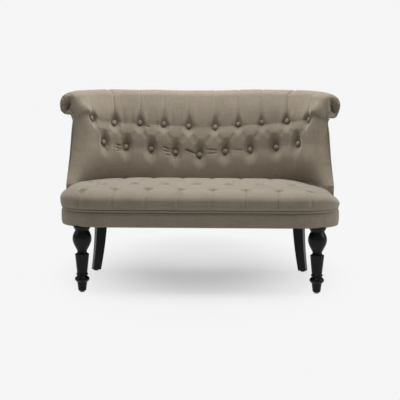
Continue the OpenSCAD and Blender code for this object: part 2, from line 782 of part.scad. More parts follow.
across_z = [for (f = [0.14, 0.38, 0.62, 0.86]) lerp(frame_top, frame_peak - top_rail_h, f)];
upright_x = [for (side = [-1, 0, 1]) side * (post_x[0] + post_x[1]) / 2];
tack_in = 20;
module back_webbing_across() {
    color(strap_tone) for (z = across_z)
        back_bar(-back_half, back_half, z, z + strap_w, strap_off, strap_off + strap_t);
}
module back_webbing_upright() {
    off = strap_off + strap_t + gap;
    color(strap_tone) for (x = upright_x)
        back_bar(x - strap_w / 2, x + strap_w / 2, foam_z, frame_peak - tack_in, off, off + strap_t);
}

// Wadding between the frame and the buttoned padding
module back_wadding() {
    deep = strap_off + 2 * (strap_t + gap);
    thin = frame_off + ply_t + bend_gap;
    stations = both_sides(concat(
        plain([0, back_half]), plain(wing_turns),
        shares(top_end, [for (v = wing_shares) if (v < wing_stop) v])
    ));
    color(wadding_tone) back_layer(
        stations,
        function (s) concat([foam_z, lean_z], wing_levels),
        function (s) pad_rear - (abs(s[0]) > back_half ? 2 * bend_gap : gap),
        function (s) abs(s[0]) > back_half ? thin : deep
    );
}

// Buttoned inside back and wings, one padded piece with two rows of buttons pulled in
function button_runs(first, count) = [for (k = [0:count - 1])
    let (c = (first + k) * button_pitch) each
    [if (c > 0) c - button_flat, c, c + button_flat,
     if (k < count - 1 || first == 0) c + button_pitch / 2]];
foot_band = 30;
function pad_heights(s) = let (
        zt = top_row(run(s, wing_top_z)),
        zl = low_row(run(s, low_row_z)),
        edges = [pad_t / 2 + 8, fold_spread, button_flat, 0]
    )
    concat(
        [pad_foot_z, lean_z, lean_z + foot_band, (lean_z + foot_band + zl - edges[0]) / 2],
        [for (e = edges) zl - e], [button_flat + zl, fold_spread + zl],
        [(zl + zt) / 2 - 14, (zl + zt) / 2 + 14],
        [zt - fold_spread, zt - button_flat, zt - gap / 2]
    );

module inside_back() {
    stations = both_sides(concat(
        plain(button_runs(0, (low_count + 1) / 2)),
        shares(top_end, [0.3, wing_stop + 0.02, wing_wrap, 0.8, cover_stop + 0.01, edge_wrap, 1])
    ));
    rear_levels = [0.25, 0.5, 0.75, 0.9];
    rings = [for (s = stations) let (
            zs = pad_heights(s),
            top = last(zs),
            rears = concat([pad_foot_z, lean_z], [for (f = rear_levels) lerp(lean_z, top, f)], [top])
        )
        concat(
            [for (z = zs) let (t = run(s, z)) at(t, z, z > top - button_flat - gap
                ? nose(t, z) * button_off : swell(t, z))],
            [for (z = back_to_front(rears)) at(run(s, z), z, rear_off(s[1]))]
        )];
    color(linen) ring_solid(rings, len(pad_heights(stations[0])));
}

// Padded scroll, from the fold of the upper row up and over its core. The handles shape the
// curve by which its face swells out of the fold.
low_handle = [30, 22];
high_handle = [7, 20];
function pleat(t) = pleat_sink * (1 - clamp(abs(t - near_top(t)) / (2 * button_flat)));
function bezier(a, b, c, d, u) = pow(1 - u, 3) * a + 3 * pow(1 - u, 2) * u * b
    + 3 * (1 - u) * u * u * c + u * u * u * d;
module top_roll() {
    stations = both_sides(concat(
        plain([0]), plain(button_runs(0.5, top_count / 2)),
        shares(top_end + button_flat, [0.35, 0.7, 0.92, 1])
    ));
    brow = 35;
    rings = [for (s = stations) let (
            t = run(s, wing_top_z),
            end = s[1] == 1 ? end_share : 1,
            zt = top_row(t),
            c = scroll_c(t),
            r = scroll_r(t) * end,
            dip = pleat(t),
            grow = nose(t, wing_top_z),
            low = [outer(t, zt) - swell(t, zt), zt + gap / 2],
            lip = [outer(t, zt + button_flat) - swell(t, zt + button_flat), zt + button_flat],
            over = c + (r - dip) * [-cos(brow), sin(brow)],
            face = [for (u = [0.25, 0.5, 0.75]) bezier(
                lip, lip + [(dip - low_handle.x) * grow, low_handle.y],
                c + [dip - r - high_handle.x, -high_handle.y], over, u)],
            skin = [for (i = [1:9]) let (a = lerp(brow, tuck(t), i / 9))
                c + (r - dip * clamp((240 - a) / 200)) * [-cos(a), sin(a)]],
            core = [for (k = [6:-1:0]) let (a = core_turn - k * core_step)
                c + (core_r + gap) * [-cos(a), sin(a)]],
            far = s[1] < edge_wrap - 0.1 ? pad_rear : 2,
            rail = min(frame_end(t), c.y - core_r - 3 * gap + far - 2),
            rear = [[outer(t, zt) - far, zt + gap / 2], [outer(t, rail) - far, rail]],
            chain = concat([low, lip], face, [over], skin, back_to_front(core), back_to_front(rear))
        )
        [for (q = chain) let (p = plan(t, q.x)) [p.x, p.y, settled(t, q.y)]]];
    color(linen) ring_solid(rings, 15);
}

// Wooden core of the scroll, eight sided and planed lower towards its ends, seated on the
// frame's top
module roll_core() {
    stations = both_sides(concat(
        plain([0]), plain(button_runs(0.5, top_count / 2)),
        shares(top_end + button_flat, [0.35, 0.7])
    ));
    rings = [for (s = stations) let (t = run(s, wing_top_z), c = scroll_c(t))
        [for (k = [0:core_sides - 1]) let (
                a = core_turn - k * core_step,
                q = c + core_r * [-cos(a), sin(a)],
                p = plan(t, q.x)
            )
            [p.x, p.y, settled(t, q.y)]]];
    color(beech) ring_solid(rings, core_sides / 2, true);
}

// Gathered end of the scroll: a swelling disc whose pleats draw in to a point below its middle
pleats = 12;
gather_point = [16, -gather_drop];
module roll_gather() {
    t = wing_t(wing_top_z);
    c = scroll_c(t);
    a = turn(t);
    r = scroll_r(t) * end_share;
    // Each ring as its share of the radius, its height and the depth of its pleats
    steps = [[0.985, gap, 0], [1, 3, 0], [0.86, 0.75 * gather_h, 0.5], [0.62, gather_h, 2.2],
        [0.36, 0.9 * gather_h, 3], [0.1, 0.5 * gather_h, 1.5]];
    rings = [for (s = steps) [for (k = [0:2 * pleats - 1]) let (
            turned = 180 * k / pleats,
            drawn = pow(1 - s[0], 1.3),
            u = r * s[0] * cos(turned) + gather_point.x * drawn,
            w = r * s[0] * sin(turned) + gather_point.y * drawn,
            n = s[1] - s[2] * (k % 2),
            p = plan(t, c.x + u)
        )
        [p.x + n * cos(a), p.y - n * sin(a), settled(t, c.y + w)]]];
    ring_solid(rings, pleats, true);
}
module roll_gather_right() { color(linen_shade) roll_gather(); }
module roll_gather_left() { color(linen_shade) mirror([1, 0, 0]) roll_gather(); }

// Covered buttons, each facing square out of its pit. The facets of a bent pit lie a little
// nearer to its button than those of a straight one.
button_seat = 0.5;
top_bend_seat = 1.1;
low_bend_seat = 0.5;
module covered_button(t, z, bend_seat) {
    edge = 1.5;
    off = swell(t, z) + button_seat + (turn(t) > 0 ? bend_seat : 0);
    slant = atan(tan_lean * sin(2 * turn(t)) * (z - lean_z) / (outer(t, z) - off));
    translate(at(t, z, off)) rotate([0, 0, -sign(t) * (turn(t) + slant)])
        rotate([90 - atan(tan_lean * pow(cos(turn(t)), 2)), 0, 0])
        rotate_extrude($fn = 40) polygon(concat(
            [[0, 0], [button_r - 0.6, 0]],
            [for (a = [0:15:90]) [button_r * cos(a), edge + (button_h - edge) * sin(a)]]
        ));
}
module buttons_top_row() {
    color(linen) for (i = [0:top_count - 1]) {
        t = (i - (top_count - 1) / 2) * button_pitch;
        covered_button(t, top_row(t), top_bend_seat);
    }
}
module buttons_low_row() {
    color(linen) for (i = [0:low_count - 1]) {
        t = (i - (low_count - 1) / 2) * button_pitch;
        covered_button(t, low_row(t), low_bend_seat);
    }
}

// Outside back, from under the scroll down to the seat's lower edge and round to the wings
module outside_back_cover() {
    stations = both_sides(concat(
        plain([0, back_half]), plain(wing_turns),
        [for (v = wing_shares) [top_end, v, v / cover_stop]]
    ));
    color(linen_shade) back_layer(
        stations,
        function (s) concat(
            [leg_h, ledge_z - 1, ledge_z, lean_z], wing_levels, [cover_end(run(s, wing_top_z))]),
        function (s) cover_t,
        function (s) 0
    );
}

front_leg_left();
front_leg_right();
rear_leg_left();
rear_leg_right();
foot_glides();
hanger_bolts();
tee_nuts();
front_rail();
rear_rail();
side_rail_left();
side_rail_right();
front_corner_left();
front_corner_right();
rear_corner_left();
rear_corner_right();
frame_dowels();
centre_stretcher();
seat_webbing_long();
seat_webbing_cross();
seat_deck();
seat_foam();
seat_pad();
seat_piping();
seat_border();
dust_cover();
back_posts();
back_top_rail();
wing_panel_left();
wing_panel_right();
back_webbing_across();
back_webbing_upright();
back_wadding();
inside_back();
top_roll();
roll_core();
roll_gather_left();
roll_gather_right();
buttons_top_row();
buttons_low_row();
outside_back_cover();
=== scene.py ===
import bmesh
import bpy
import numpy as np
from mathutils import Euler, Matrix, Vector


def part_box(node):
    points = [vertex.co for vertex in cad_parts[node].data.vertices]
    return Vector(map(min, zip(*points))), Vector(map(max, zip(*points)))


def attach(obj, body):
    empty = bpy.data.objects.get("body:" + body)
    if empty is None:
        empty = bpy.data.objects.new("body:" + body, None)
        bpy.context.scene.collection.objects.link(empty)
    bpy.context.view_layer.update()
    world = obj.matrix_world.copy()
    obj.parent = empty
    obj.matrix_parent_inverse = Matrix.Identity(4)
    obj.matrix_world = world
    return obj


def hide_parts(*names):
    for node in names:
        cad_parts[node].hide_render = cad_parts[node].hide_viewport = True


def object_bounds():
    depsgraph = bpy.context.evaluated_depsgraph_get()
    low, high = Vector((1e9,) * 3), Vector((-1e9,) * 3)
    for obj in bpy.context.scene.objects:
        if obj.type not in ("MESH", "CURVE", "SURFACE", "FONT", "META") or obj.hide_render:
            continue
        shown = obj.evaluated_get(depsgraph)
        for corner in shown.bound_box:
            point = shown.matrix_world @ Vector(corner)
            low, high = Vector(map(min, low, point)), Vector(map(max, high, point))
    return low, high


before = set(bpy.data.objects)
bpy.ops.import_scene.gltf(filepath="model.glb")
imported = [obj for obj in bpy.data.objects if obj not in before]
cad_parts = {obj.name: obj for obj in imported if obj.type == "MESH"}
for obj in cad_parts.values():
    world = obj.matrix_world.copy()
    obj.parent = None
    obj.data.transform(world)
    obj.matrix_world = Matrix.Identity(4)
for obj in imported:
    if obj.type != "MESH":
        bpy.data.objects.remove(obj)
cad_low, cad_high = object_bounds()


# Legs
# The front pair is turned beech and the rear pair is sawn in a sweep. All four are sanded,
# lacquered black and rubbed to a satin, and each is screwed to a corner block by a hanger bolt.
class Wire:
    """An output of a shader node. Arithmetic on it adds Math nodes, with a number or a wire."""

    def __init__(self, nodes, socket):
        self.nodes, self.socket = nodes, socket

    def also(self, out):
        """Another output of the same node."""
        return Wire(self.nodes, self.socket.node.outputs[out])

    def maths(self, operation, *others):
        return self.nodes.node("Math", {"operation": operation}, dict(enumerate((self, *others))))

    def __add__(self, other):
        return self.maths("ADD", other)

    def __sub__(self, other):
        return self.maths("SUBTRACT", other)

    def __rsub__(self, other):
        return (self * -1) + other

    def __mul__(self, other):
        return self.maths("MULTIPLY", other)

    __radd__, __rmul__ = __add__, __mul__


class Nodes:
    """The nodes round one shader. Words name the shader's sockets, with _ for a space."""

    def __init__(self, owner, shader, **plain):
        owner.use_nodes = True
        self.tree = owner.node_tree
        self.shader = self.tree.nodes[shader]
        for label, value in plain.items():
            self.shader.inputs[label.replace("_", " ")].default_value = value

    def node(self, kind, settings, sockets, out=0):
        """Adds a shader node: its settings first, then the values or wires of its sockets."""
        made = self.tree.nodes.new("ShaderNode" + kind)
        for key, value in settings.items():
            setattr(made, key, value)
        for key, value in sockets.items():
            if isinstance(value, Wire):
                self.tree.links.new(value.socket, made.inputs[key])
            else:
                made.inputs[key].default_value = value
        return Wire(self, made.outputs[out])

    def feed(self, **wires):
        for label, wire in wires.items():
            self.tree.links.new(wire.socket, self.shader.inputs[label.replace("_", " ")])


class Finish(Nodes):
    """A material with one Principled shader."""

    def __init__(self, name, **plain):
        self.material = bpy.data.materials.new(name)
        super().__init__(self.material, "Principled BSDF", **plain)

    def on_object(self):
        """Place on the object, in metres."""
        return self.node("TexCoord", {}, {}, out=3)

    def noise(self, place, stretch, detail=2.0, roughness=0.5):
        """Noise whose lumps are 1 / stretch metres long in each direction."""
        spread = self.node("Mapping", {}, {"Vector": place, "Scale": stretch})
        return self.node("TexNoise", {}, {"Vector": spread, "Scale": 1.0, "Detail": detail,
                                          "Roughness": roughness})

    def blend(self, share, dark, light):
        """Colour between two, by a share from 0 to 1."""
        return self.node("Mix", {"data_type": "RGBA"}, {0: share, 6: (*dark, 1), 7: (*light, 1)}, out=2)

    def raised(self, height, distance, strength=1.0):
        """Bump of a height between 0 and 1, worth a distance in metres."""
        bump = self.node("Bump", {}, {"Strength": strength, "Distance": distance, "Height": height})
        self.feed(Normal=bump)


def dress(finish, *names):
    """Gives CAD nodes a finish."""
    for name in names:
        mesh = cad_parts[name].data
        mesh.materials.clear()
        mesh.materials.append(finish.material)


lacquer = Finish("black_satin_lacquer", Coat_Weight=0.1, Coat_Roughness=0.25, Specular_IOR_Level=0.12)
place = lacquer.on_object()
grain = lacquer.noise(place, (160, 160, 9), 4.0, 0.6)
orange_peel = lacquer.noise(place, (260, 260, 260))
rub = lacquer.noise(place, (22, 22, 22), 3.0)
worn = rub * 0.8 + grain * 0.3 - 0.1
lacquer.feed(
    Base_Color=lacquer.blend(worn, (0.004, 0.004, 0.004), (0.011, 0.0105, 0.010)),
    Roughness=0.30 + rub * 0.16,
)
lacquer.raised(grain * 0.7 + orange_peel * 0.3, 0.0004, 0.35)
dress(lacquer, "front_leg_left", "front_leg_right", "rear_leg_left", "rear_leg_right")


# Glides and leg fittings
# Each leg stands on a moulded nylon glide with a rounded edge. Zinc plated hanger bolts run from
# the legs up into tee nuts that are let into the corner blocks.
nylon = Finish("moulded_nylon", Subsurface_Weight=0.1, Specular_IOR_Level=0.45)
place = nylon.on_object()
scuffs = nylon.noise(place, (700, 700, 90), 3.0)
nylon.feed(
    Base_Color=nylon.blend(scuffs, (0.52, 0.51, 0.48), (0.66, 0.65, 0.62)),
    Roughness=0.42 + scuffs * 0.25,
)
nylon.raised(scuffs, 0.0002, 0.3)
dress(nylon, "foot_glides")

zinc = Finish("zinc_plate", Metallic=1.0)
place = zinc.on_object()
plating = zinc.noise(place, (900, 900, 900), 3.0)
zinc.feed(
    Base_Color=zinc.blend(plating, (0.52, 0.54, 0.56), (0.68, 0.69, 0.70)),
    Roughness=0.28 + plating * 0.2,
)
zinc.raised(plating, 0.0001, 0.4)
dress(zinc, "hanger_bolts", "tee_nuts")


# Timber of the frame
# Planed beech rails, posts, blocks and dowels, glued and unpainted, and two wing panels of bent
# plywood. All of it is hidden under the cloth.
def timber(name, dark, light, along, ply=0.0):
    """Bare wood: rings of a noise drawn out along one axis of the object."""
    wood = Finish(name, Specular_IOR_Level=0.3)
    place = wood.on_object()
    stretch = [26.0, 26.0, 26.0]
    stretch[along] = 2.2
    rings = wood.noise(place, stretch, 4.0, 0.65)
    pores = wood.noise(place, [s * 14 for s in stretch], 2.0)
    share = rings * 0.8 + pores * 0.2
    if ply:
        layers = wood.node("TexWave", {"bands_direction": "DIAGONAL"}, {"Vector": place, "Scale": ply})
        share = share * 0.8 + layers * 0.2
    wood.feed(Base_Color=wood.blend(share, dark, light), Roughness=0.5 + pores * 0.2)
    wood.raised(pores, 0.0003, 0.4)
    return wood


beech_dark, beech_light = (0.42, 0.27, 0.14), (0.62, 0.44, 0.26)
for axis, names in enumerate((
        ("front_rail", "rear_rail", "back_top_rail", "roll_core", "frame_dowels"),
        ("side_rail_left", "side_rail_right", "centre_stretcher"),
        ("front_corner_left", "front_corner_right", "rear_corner_left", "rear_corner_right",
         "back_posts"))):
    dress(timber("beech_along_" + "xyz"[axis], beech_dark, beech_light, axis), *names)
dress(timber("bent_plywood", (0.40, 0.27, 0.15), (0.58, 0.42, 0.26), 1, 90.0),
      "wing_panel_left", "wing_panel_right")


# Webbing, deck, foam, wadding and dust cover
# Woven straps carry the seat and the back. A calico deck lies on the seat's straps under a block
# of cut foam, felted wadding backs the buttoned padding, and a black cloth closes the underside.
def strap_finish(name, dark, light, stripes, fine):
    """Woven band: two crossed waves on the object's axes for the threads, and a slow noise."""
    band = Finish(name, Roughness=0.9, Specular_IOR_Level=0.15)
    place = band.on_object()
    across = band.node("TexWave", {"bands_direction": "X"}, {"Vector": place, "Scale": stripes})
    along = band.node("TexWave", {"bands_direction": "Y"}, {"Vector": place, "Scale": stripes})
    lumps = band.noise(place, (fine, fine, fine), 3.0)
    band.feed(Base_Color=band.blend(across * 0.3 + along * 0.3 + lumps * 0.4, dark, light))
    band.raised(across * 0.5 + along * 0.5, 0.0005, 0.5)
    return band


dress(strap_finish("jute_webbing", (0.05, 0.04, 0.03), (0.13, 0.11, 0.09), 110.0, 300.0),
      "seat_webbing_long", "seat_webbing_cross", "back_webbing_across", "back_webbing_upright")
dress(strap_finish("calico_deck", (0.55, 0.53, 0.47), (0.74, 0.72, 0.66), 260.0, 90.0), "seat_deck")
dress(strap_finish("black_dust_cloth", (0.010, 0.010, 0.010), (0.028, 0.028, 0.028), 190.0, 420.0),
      "dust_cover")


def stuffing(name, dark, light, cells, depth):
    """Foam or felt: two noises of cells, one fine and one coarse."""
    filling = Finish(name, Roughness=0.95, Specular_IOR_Level=0.1)
    place = filling.on_object()
    fine = filling.noise(place, (cells, cells, cells), 3.0, 0.7)
    coarse = filling.noise(place, (cells / 12, cells / 12, cells / 12))
    filling.feed(Base_Color=filling.blend(fine * 0.6 + coarse * 0.4, dark, light))
    filling.raised(fine, depth, 0.6)
    return filling


dress(stuffing("seat_foam_block", (0.62, 0.58, 0.42), (0.80, 0.76, 0.60), 900.0, 0.0006), "seat_foam")
dress(stuffing("felted_wadding", (0.68, 0.67, 0.63), (0.85, 0.84, 0.80), 350.0, 0.0015), "back_wadding")


# Seat cushion
# A padded cover over the foam block, sewn down to the piping all round. Three rows of tufts in
# diamonds are drawn in with hidden twine, and sewn folds join them and run over the front edge.
mm = 0.001
seat_low, seat_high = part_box("seat_pad")
pipe_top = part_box("seat_piping")[1].z
half_w = seat_high.x
y_front = seat_low.y
seat_d = 582 * mm
y_back = y_front + seat_d
front_corner_r = 190 * mm
back_corner_r = 262 * mm
front_half, front_y = half_w - front_corner_r, y_front + front_corner_r
back_half, back_y = half_w - back_corner_r, y_back - back_corner_r
trim_inset = 5 * mm
tan_lean = np.tan(np.radians(8.5))
lean_z = pipe_top + 85 * mm
pad_t = 80 * mm
button_sink = 25 * mm
tuft_r = back_corner_r - trim_inset - (pad_t - button_sink)
wing_top_reach, wing_low_reach = 175 * mm, 270 * mm
wing_top_z = 710 * mm
nose_len = 75 * mm


def turn(t):
    """Angle turned at a run t along the back: none behind the seat, then t over the radius."""
    return np.clip((np.abs(t) - back_half) / tuft_r, 0, np.pi / 2)


def plan(t, r):
    """Place in plan at a run t and a distance r from the corner's centre: a straight, a quarter
    circle, and a straight that goes forward."""
    ahead = np.maximum(0, np.abs(t) - back_half - tuft_r * np.pi / 2)
    x = np.sign(t) * (np.minimum(np.abs(t), back_half) + r * np.sin(turn(t)))
    return x, back_y + r * np.cos(turn(t)) - ahead


def outer(t, z):
    """Radius of the outside cover's face: it leans back behind the seat, by the squared cosine
    of the angle turned, and stands upright at the wings."""
    return back_corner_r - trim_inset + tan_lean * np.cos(turn(t)) ** 2 * np.maximum(0, z - lean_z)


def wing_end(z):
    """Run of the wing's front edge at a height: the edge sweeps back by a parabola as it climbs."""
    fall = np.clip((wing_top_z - z) / (wing_top_z - lean_z), 0, 1)
    rest = seat_d + y_front - wing_top_reach - (wing_low_reach - wing_top_reach) * fall ** 2 - back_y
    wing_mid_r = tuft_r + (pad_t - button_sink) / 2
    bent = back_half + tuft_r * np.arccos(np.clip(rest / wing_mid_r, -1, 1))
    return np.where(rest > 0, bent, back_half + tuft_r * np.pi / 2 - rest)


def ease(v):
    """Smooth step from 0 to 1."""
    v = np.clip(v, 0, 1)
    return v * v * (3 - 2 * v)


def rise(v):
    """Parabola from 0 to 1 that arrives level."""
    return 1 - (1 - np.clip(v, 0, 1)) ** 2


def quarter(v, power=2):
    """Quarter circle from 0 to 1 that arrives level, or a blunter curve at a higher power."""
    return np.sqrt(1 - (1 - np.clip(v, 0, 1)) ** power)


def valley(distance, width, soft=0.0):
    """Cross section of a fold in cloth: 1 at its line, falling off exponentially. A soft fold is
    rounded at its line instead of sharp."""
    return np.exp((soft - np.hypot(distance, soft)) / width)


def ripple(u, v, length, seed):
    """Slow unevenness of hand made padding: eight plane waves of about one length, whose
    directions and phases are drawn from a seed."""
    draw = np.random.default_rng(seed)
    total = 0.0
    for _ in range(8):
        heading, phase = draw.uniform(0, np.pi), draw.uniform(0, 2 * np.pi)
        stretch = draw.uniform(0.7, 1.6)
        wave = 2 * np.pi / (length * stretch)
        total = total + np.sin(wave * (u * np.cos(heading) + v * np.sin(heading)) + phase)
    return total / 8


def along(points):
    """Distance run along each line of points, from its start."""
    steps = np.linalg.norm(np.diff(points, axis=0), axis=-1)
    return np.concatenate([np.zeros_like(steps[:1]), np.cumsum(steps, axis=0)])


def placed(name, data):
    """A new object in the scene."""
    thing = bpy.data.objects.new(name, data)
    bpy.context.scene.collection.objects.link(thing)
    return thing


def grid_piece(name, points, cloth, loop=False, loop_cols=False, caps=False):
    """Mesh through a grid of points. cloth holds each point's place on the flat cloth, in metres,
    with a line more where the grid closes on itself. caps closes both ends of a tube."""
    rows, cols = points.shape[:2]
    r, c = np.meshgrid(np.arange(rows if loop else rows - 1),
                       np.arange(cols if loop_cols else cols - 1), indexing="ij")
    corners = [(r.ravel() + i, c.ravel() + j) for i, j in ((0, 0), (1, 0), (1, 1), (0, 1))]
    quads = np.stack([(a % rows) * cols + b % cols for a, b in corners], 1)
    spread = np.stack([cloth[a, b] for a, b in corners], 1).reshape(-1, 2)
    mesh = bpy.data.meshes.new(name)
    mesh.vertices.add(rows * cols)
    mesh.vertices.foreach_set("co", points.reshape(-1))
    mesh.loops.add(quads.size)
    mesh.loops.foreach_set("vertex_index", quads.ravel())
    mesh.polygons.add(len(quads))
    mesh.polygons.foreach_set("loop_start", np.arange(len(quads)) * 4)
    mesh.update(calc_edges=True)
    mesh.uv_layers.new(name="cloth").data.foreach_set("uv", spread.ravel())
    shell = bmesh.new()
    shell.from_mesh(mesh)
    if caps:
        shell.verts.ensure_lookup_table()
        for end in (0, rows - 1):
            shell.faces.new([shell.verts[end * cols + k] for k in range(cols)])
    bmesh.ops.remove_doubles(shell, verts=shell.verts, dist=0.00002)
    bmesh.ops.recalc_face_normals(shell, faces=shell.faces)
    for face in shell.faces:
        face.smooth = True
    shell.to_mesh(mesh)
    shell.free()
    return placed(name, mesh)


def linen(name, dark, light):
    """Linen look: plain weave whose humps are the product of two sines, slubs from noises drawn
    out along each thread, and a slow mottling. All of it lies on the flat cloth's own metres."""
    cloth = Finish(name, Specular_IOR_Level=0.14, Sheen_Weight=0.45, Sheen_Roughness=0.4)
    place = cloth.node("UVMap", {"uv_map": "cloth"}, {})
    split = cloth.node("SeparateXYZ", {}, {"Vector": place})
    thread = 1.25 * mm
    warp = (split * (np.pi / thread)).maths("SINE")
    weft = (split.also(1) * (np.pi / thread)).maths("SINE")
    weave = warp * weft * 0.5 + 0.5
    slub_across = cloth.noise(place, (16, 330, 1), 4.0, 0.62)
    slub_along = cloth.noise(place, (330, 16, 1), 4.0, 0.62)
    mottle = cloth.noise(place, (16, 16, 1), 3.0, 0.6)
    tone = slub_across * 0.9 + slub_along * 0.9 + mottle * 0.5 + weave * 0.3 - 0.8
    cloth.feed(Base_Color=cloth.blend(tone.maths("MAXIMUM", 0.0).maths("MINIMUM", 1.0), dark, light),
               Roughness=0.80 + weave * 0.12)
    cloth.raised(weave * 0.35 + slub_across * 0.6 + slub_along * 0.6, 0.0006, 0.55)
    return cloth


linen_dark, linen_light = (0.195, 0.162, 0.117), (0.338, 0.292, 0.231)
linen_cover = linen("linen_upholstery", linen_dark, linen_light)


def clothe(piece, finish, slot, *nodes):
    """Gives a cloth piece its finish and seats it on the root body in its nodes' stead. The slot is not
    used.
    """
    piece.data.materials.append(finish.material)
    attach(piece, "root")
    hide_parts(*nodes)


front_h, box_h, slump, crown_h = 32 * mm, 8 * mm, 15 * mm, 112 * mm
crown_run, crown_power = 330 * mm, 0.7
front_run, front_power = 400 * mm, 1.25
shoulder_h, shoulder_run = 40 * mm, 75 * mm
tuft_pitch, tuft_front, tuft_rows_gap = 134 * mm, 101 * mm, 107 * mm
tuft_sink, tuft_pit_r, side_cols = 28 * mm, 24 * mm, 3.5
fold_depth, fold_reach, fold_w = 9 * mm, 26 * mm, 4.5 * mm
all_left, edge_left = 12 * mm, 8 * mm
all_ahead, left_ahead = 6 * mm, 20 * mm
tuck_depth, tuck_run = 30 * mm, 38 * mm
heart_in, heart_back = 260 * mm, 270 * mm
rear_in, rear_more = 14 * mm, 20 * mm
climb_h, climb_run = 20 * mm, 250 * mm
edge_fold_w, rear_fold, rear_fold_w = 5 * mm, 5 * mm, 12 * mm
puff_h, puff_more, pinch_in, crease_cut = 3.8 * mm, 1.4 * mm, 4.5 * mm, 11 * mm


def round_seat(step):
    """Path round the front and sides, from one wing to the other: for each point the middle of
    the corner's circle, then the outward direction, in which it lies one radius away."""
    side = np.arange(y_back - wing_low_reach, front_y, -step)
    bend = np.arange(0, np.pi / 2, step / front_corner_r)
    ahead = np.arange(front_half, 0, -step)
    cx = np.concatenate([np.full_like(side, front_half), np.full_like(bend, front_half), ahead])
    cy = np.concatenate([side, np.full_like(bend, front_y), np.full_like(ahead, front_y)])
    nx = np.concatenate([np.ones_like(side), np.cos(bend), np.zeros_like(ahead)])
    ny = np.concatenate([np.zeros_like(side), -np.sin(bend), -np.ones_like(ahead)])
    return (np.concatenate([cx, -cx[::-1]]), np.concatenate([cy, cy[::-1]]),
            np.concatenate([nx, -nx[::-1]]), np.concatenate([ny, ny[::-1]]))


def corner_gain(t):
    """How many times deeper the back's padding turns in under the seat's edge at a run."""
    return 1 + 0.75 * np.sin(2 * turn(t))


def seat_outline(step):
    """Closed outline of the cushion and its outward normals: right side, front corner, front,
    corner and left side, then inside the back's padded face from wing to wing. The last value
    is 0 on the sewn edge and 1 along the back."""
    cx, cy, nx, ny = round_seat(step)
    x, y = cx + nx * front_corner_r, cy + ny * front_corner_r
    wing_t = float(wing_end(lean_z))
    t = np.arange(-wing_t, wing_t, step)
    inward = quarter((wing_t - np.abs(t)) / nose_len)
    tucked_in = rear_in + rear_more * corner_gain(t)
    bx, by = plan(t, outer(t, lean_z) - (pad_t - tucked_in) * inward - 2 * mm)
    rear = ease((wing_t - np.abs(t)) / (60 * mm))
    zero = np.zeros_like(bx)
    return (np.concatenate([x, bx]), np.concatenate([y, by]), np.concatenate([nx, zero]),
            np.concatenate([ny, zero]), np.concatenate([np.zeros_like(x), rear]))


def edge_gap(x, y):
    """Distance inwards from the sewn edge at the front and sides."""
    corner = front_corner_r - np.hypot(np.abs(x) - front_half, y - front_y)
    square = np.minimum(half_w - np.abs(x), y - y_front)
    return np.where((np.abs(x) > front_half) & (y < front_y), corner, square)


def off_line(v):
    """Distance to the nearest of the lines that lie one pitch apart."""
    return np.abs(v - np.round(v)) * tuft_pitch


def front_edge(x):
    """Front of the sewn edge at a place across the seat."""
    over = np.clip(np.abs(x) - front_half, 0, front_corner_r)
    return front_y - np.sqrt(front_corner_r ** 2 - over ** 2)


def wall_h(x, y):
    """Height of the cushion's wall over the piping: a little boxier along the left side and
    slumped along the right one, as in the photograph."""
    aside = box_h * ease(-x / (300 * mm)) - slump * ease(x / (400 * mm))
    return front_h + aside * ease((y - y_front) / (190 * mm))


def crown(x, y, gap):
    """Height over the piping: the wall, a shoulder that is a quarter ellipse, then a gentle climb
    towards the back and inwards from the sides, by powers of two parabolas."""
    climb = rise((y - front_edge(x)) / front_run) ** front_power * rise(gap / crown_run) ** crown_power
    round_h = shoulder_h * quarter(gap / shoulder_run)
    edge_h = front_h + (wall_h(x, y) - front_h) * (1 - ease(gap / (220 * mm)))
    return edge_h + round_h + (crown_h - front_h - shoulder_h) * climb


def drift(n):
    """How far the pattern lies to the left, as it does in the photograph: a little everywhere,
    and more where the folds run down over the front edge."""
    return all_left + edge_left * np.clip(1 - n / tuft_front, 0, 1)


def ahead_of_row(x):
    """How far the tufts lie ahead of their rows: a little everywhere, and more at the left."""
    return all_ahead + left_ahead * ease((-x - 200 * mm) / (350 * mm))


def seat_dip(x, n):
    """How far tufts and folds draw the cover in: a pit at each tuft, a sharp fold on each side
    of the diamonds, and a straight fold from each front tuft to the edge and from each rear
    tuft to the back. Every fold is deepest beside its tuft."""
    x, n = x + drift(n), n + ahead_of_row(x)
    u, v = x / tuft_pitch, (n - tuft_front) / tuft_rows_gap
    row = np.clip(np.round(v), 0, 2)
    col = np.where(row == 1, np.round(u), np.floor(u) + 0.5)
    far = np.hypot(x - col * tuft_pitch, n - tuft_front - row * tuft_rows_gap)
    pit = tuft_sink * (1 - 0.3 * row) * (1 - np.clip(far / tuft_pit_r, 0, 1)) ** 1.2
    pit = np.where(np.abs(col) > side_cols - row / 2, 0, pit)
    slant = np.cos(np.arctan(tuft_pitch / 2 / tuft_rows_gap))
    diamonds = np.minimum(off_line(u + v / 2 - 0.5), off_line(u - v / 2 - 0.5)) * slant
    past = 1 - np.clip((np.abs(u) - side_cols) / 0.5, 0, 1)
    near = valley(far, fold_reach) * fold_depth + 1 * mm
    fold = np.where((v > 0) & (v < 2), near * valley(diamonds, fold_w) * past, 0)
    straight = off_line(u - 0.5)
    over = (near + 1.5 * mm) * valley(straight, edge_fold_w)
    over = np.where((v <= 0) & (np.abs(u) < side_cols + 0.5), over, 0)
    behind = rear_fold * valley(straight, rear_fold_w)
    behind = np.where((v >= 2) & (np.abs(u) < side_cols - 0.5), behind, 0)
    return np.maximum.reduce([pit, fold, over, behind])


def side_lift(y):
    """How far the piping and the sewn edge climb along the sides."""
    return climb_h * ease((y - y_front) / climb_run)


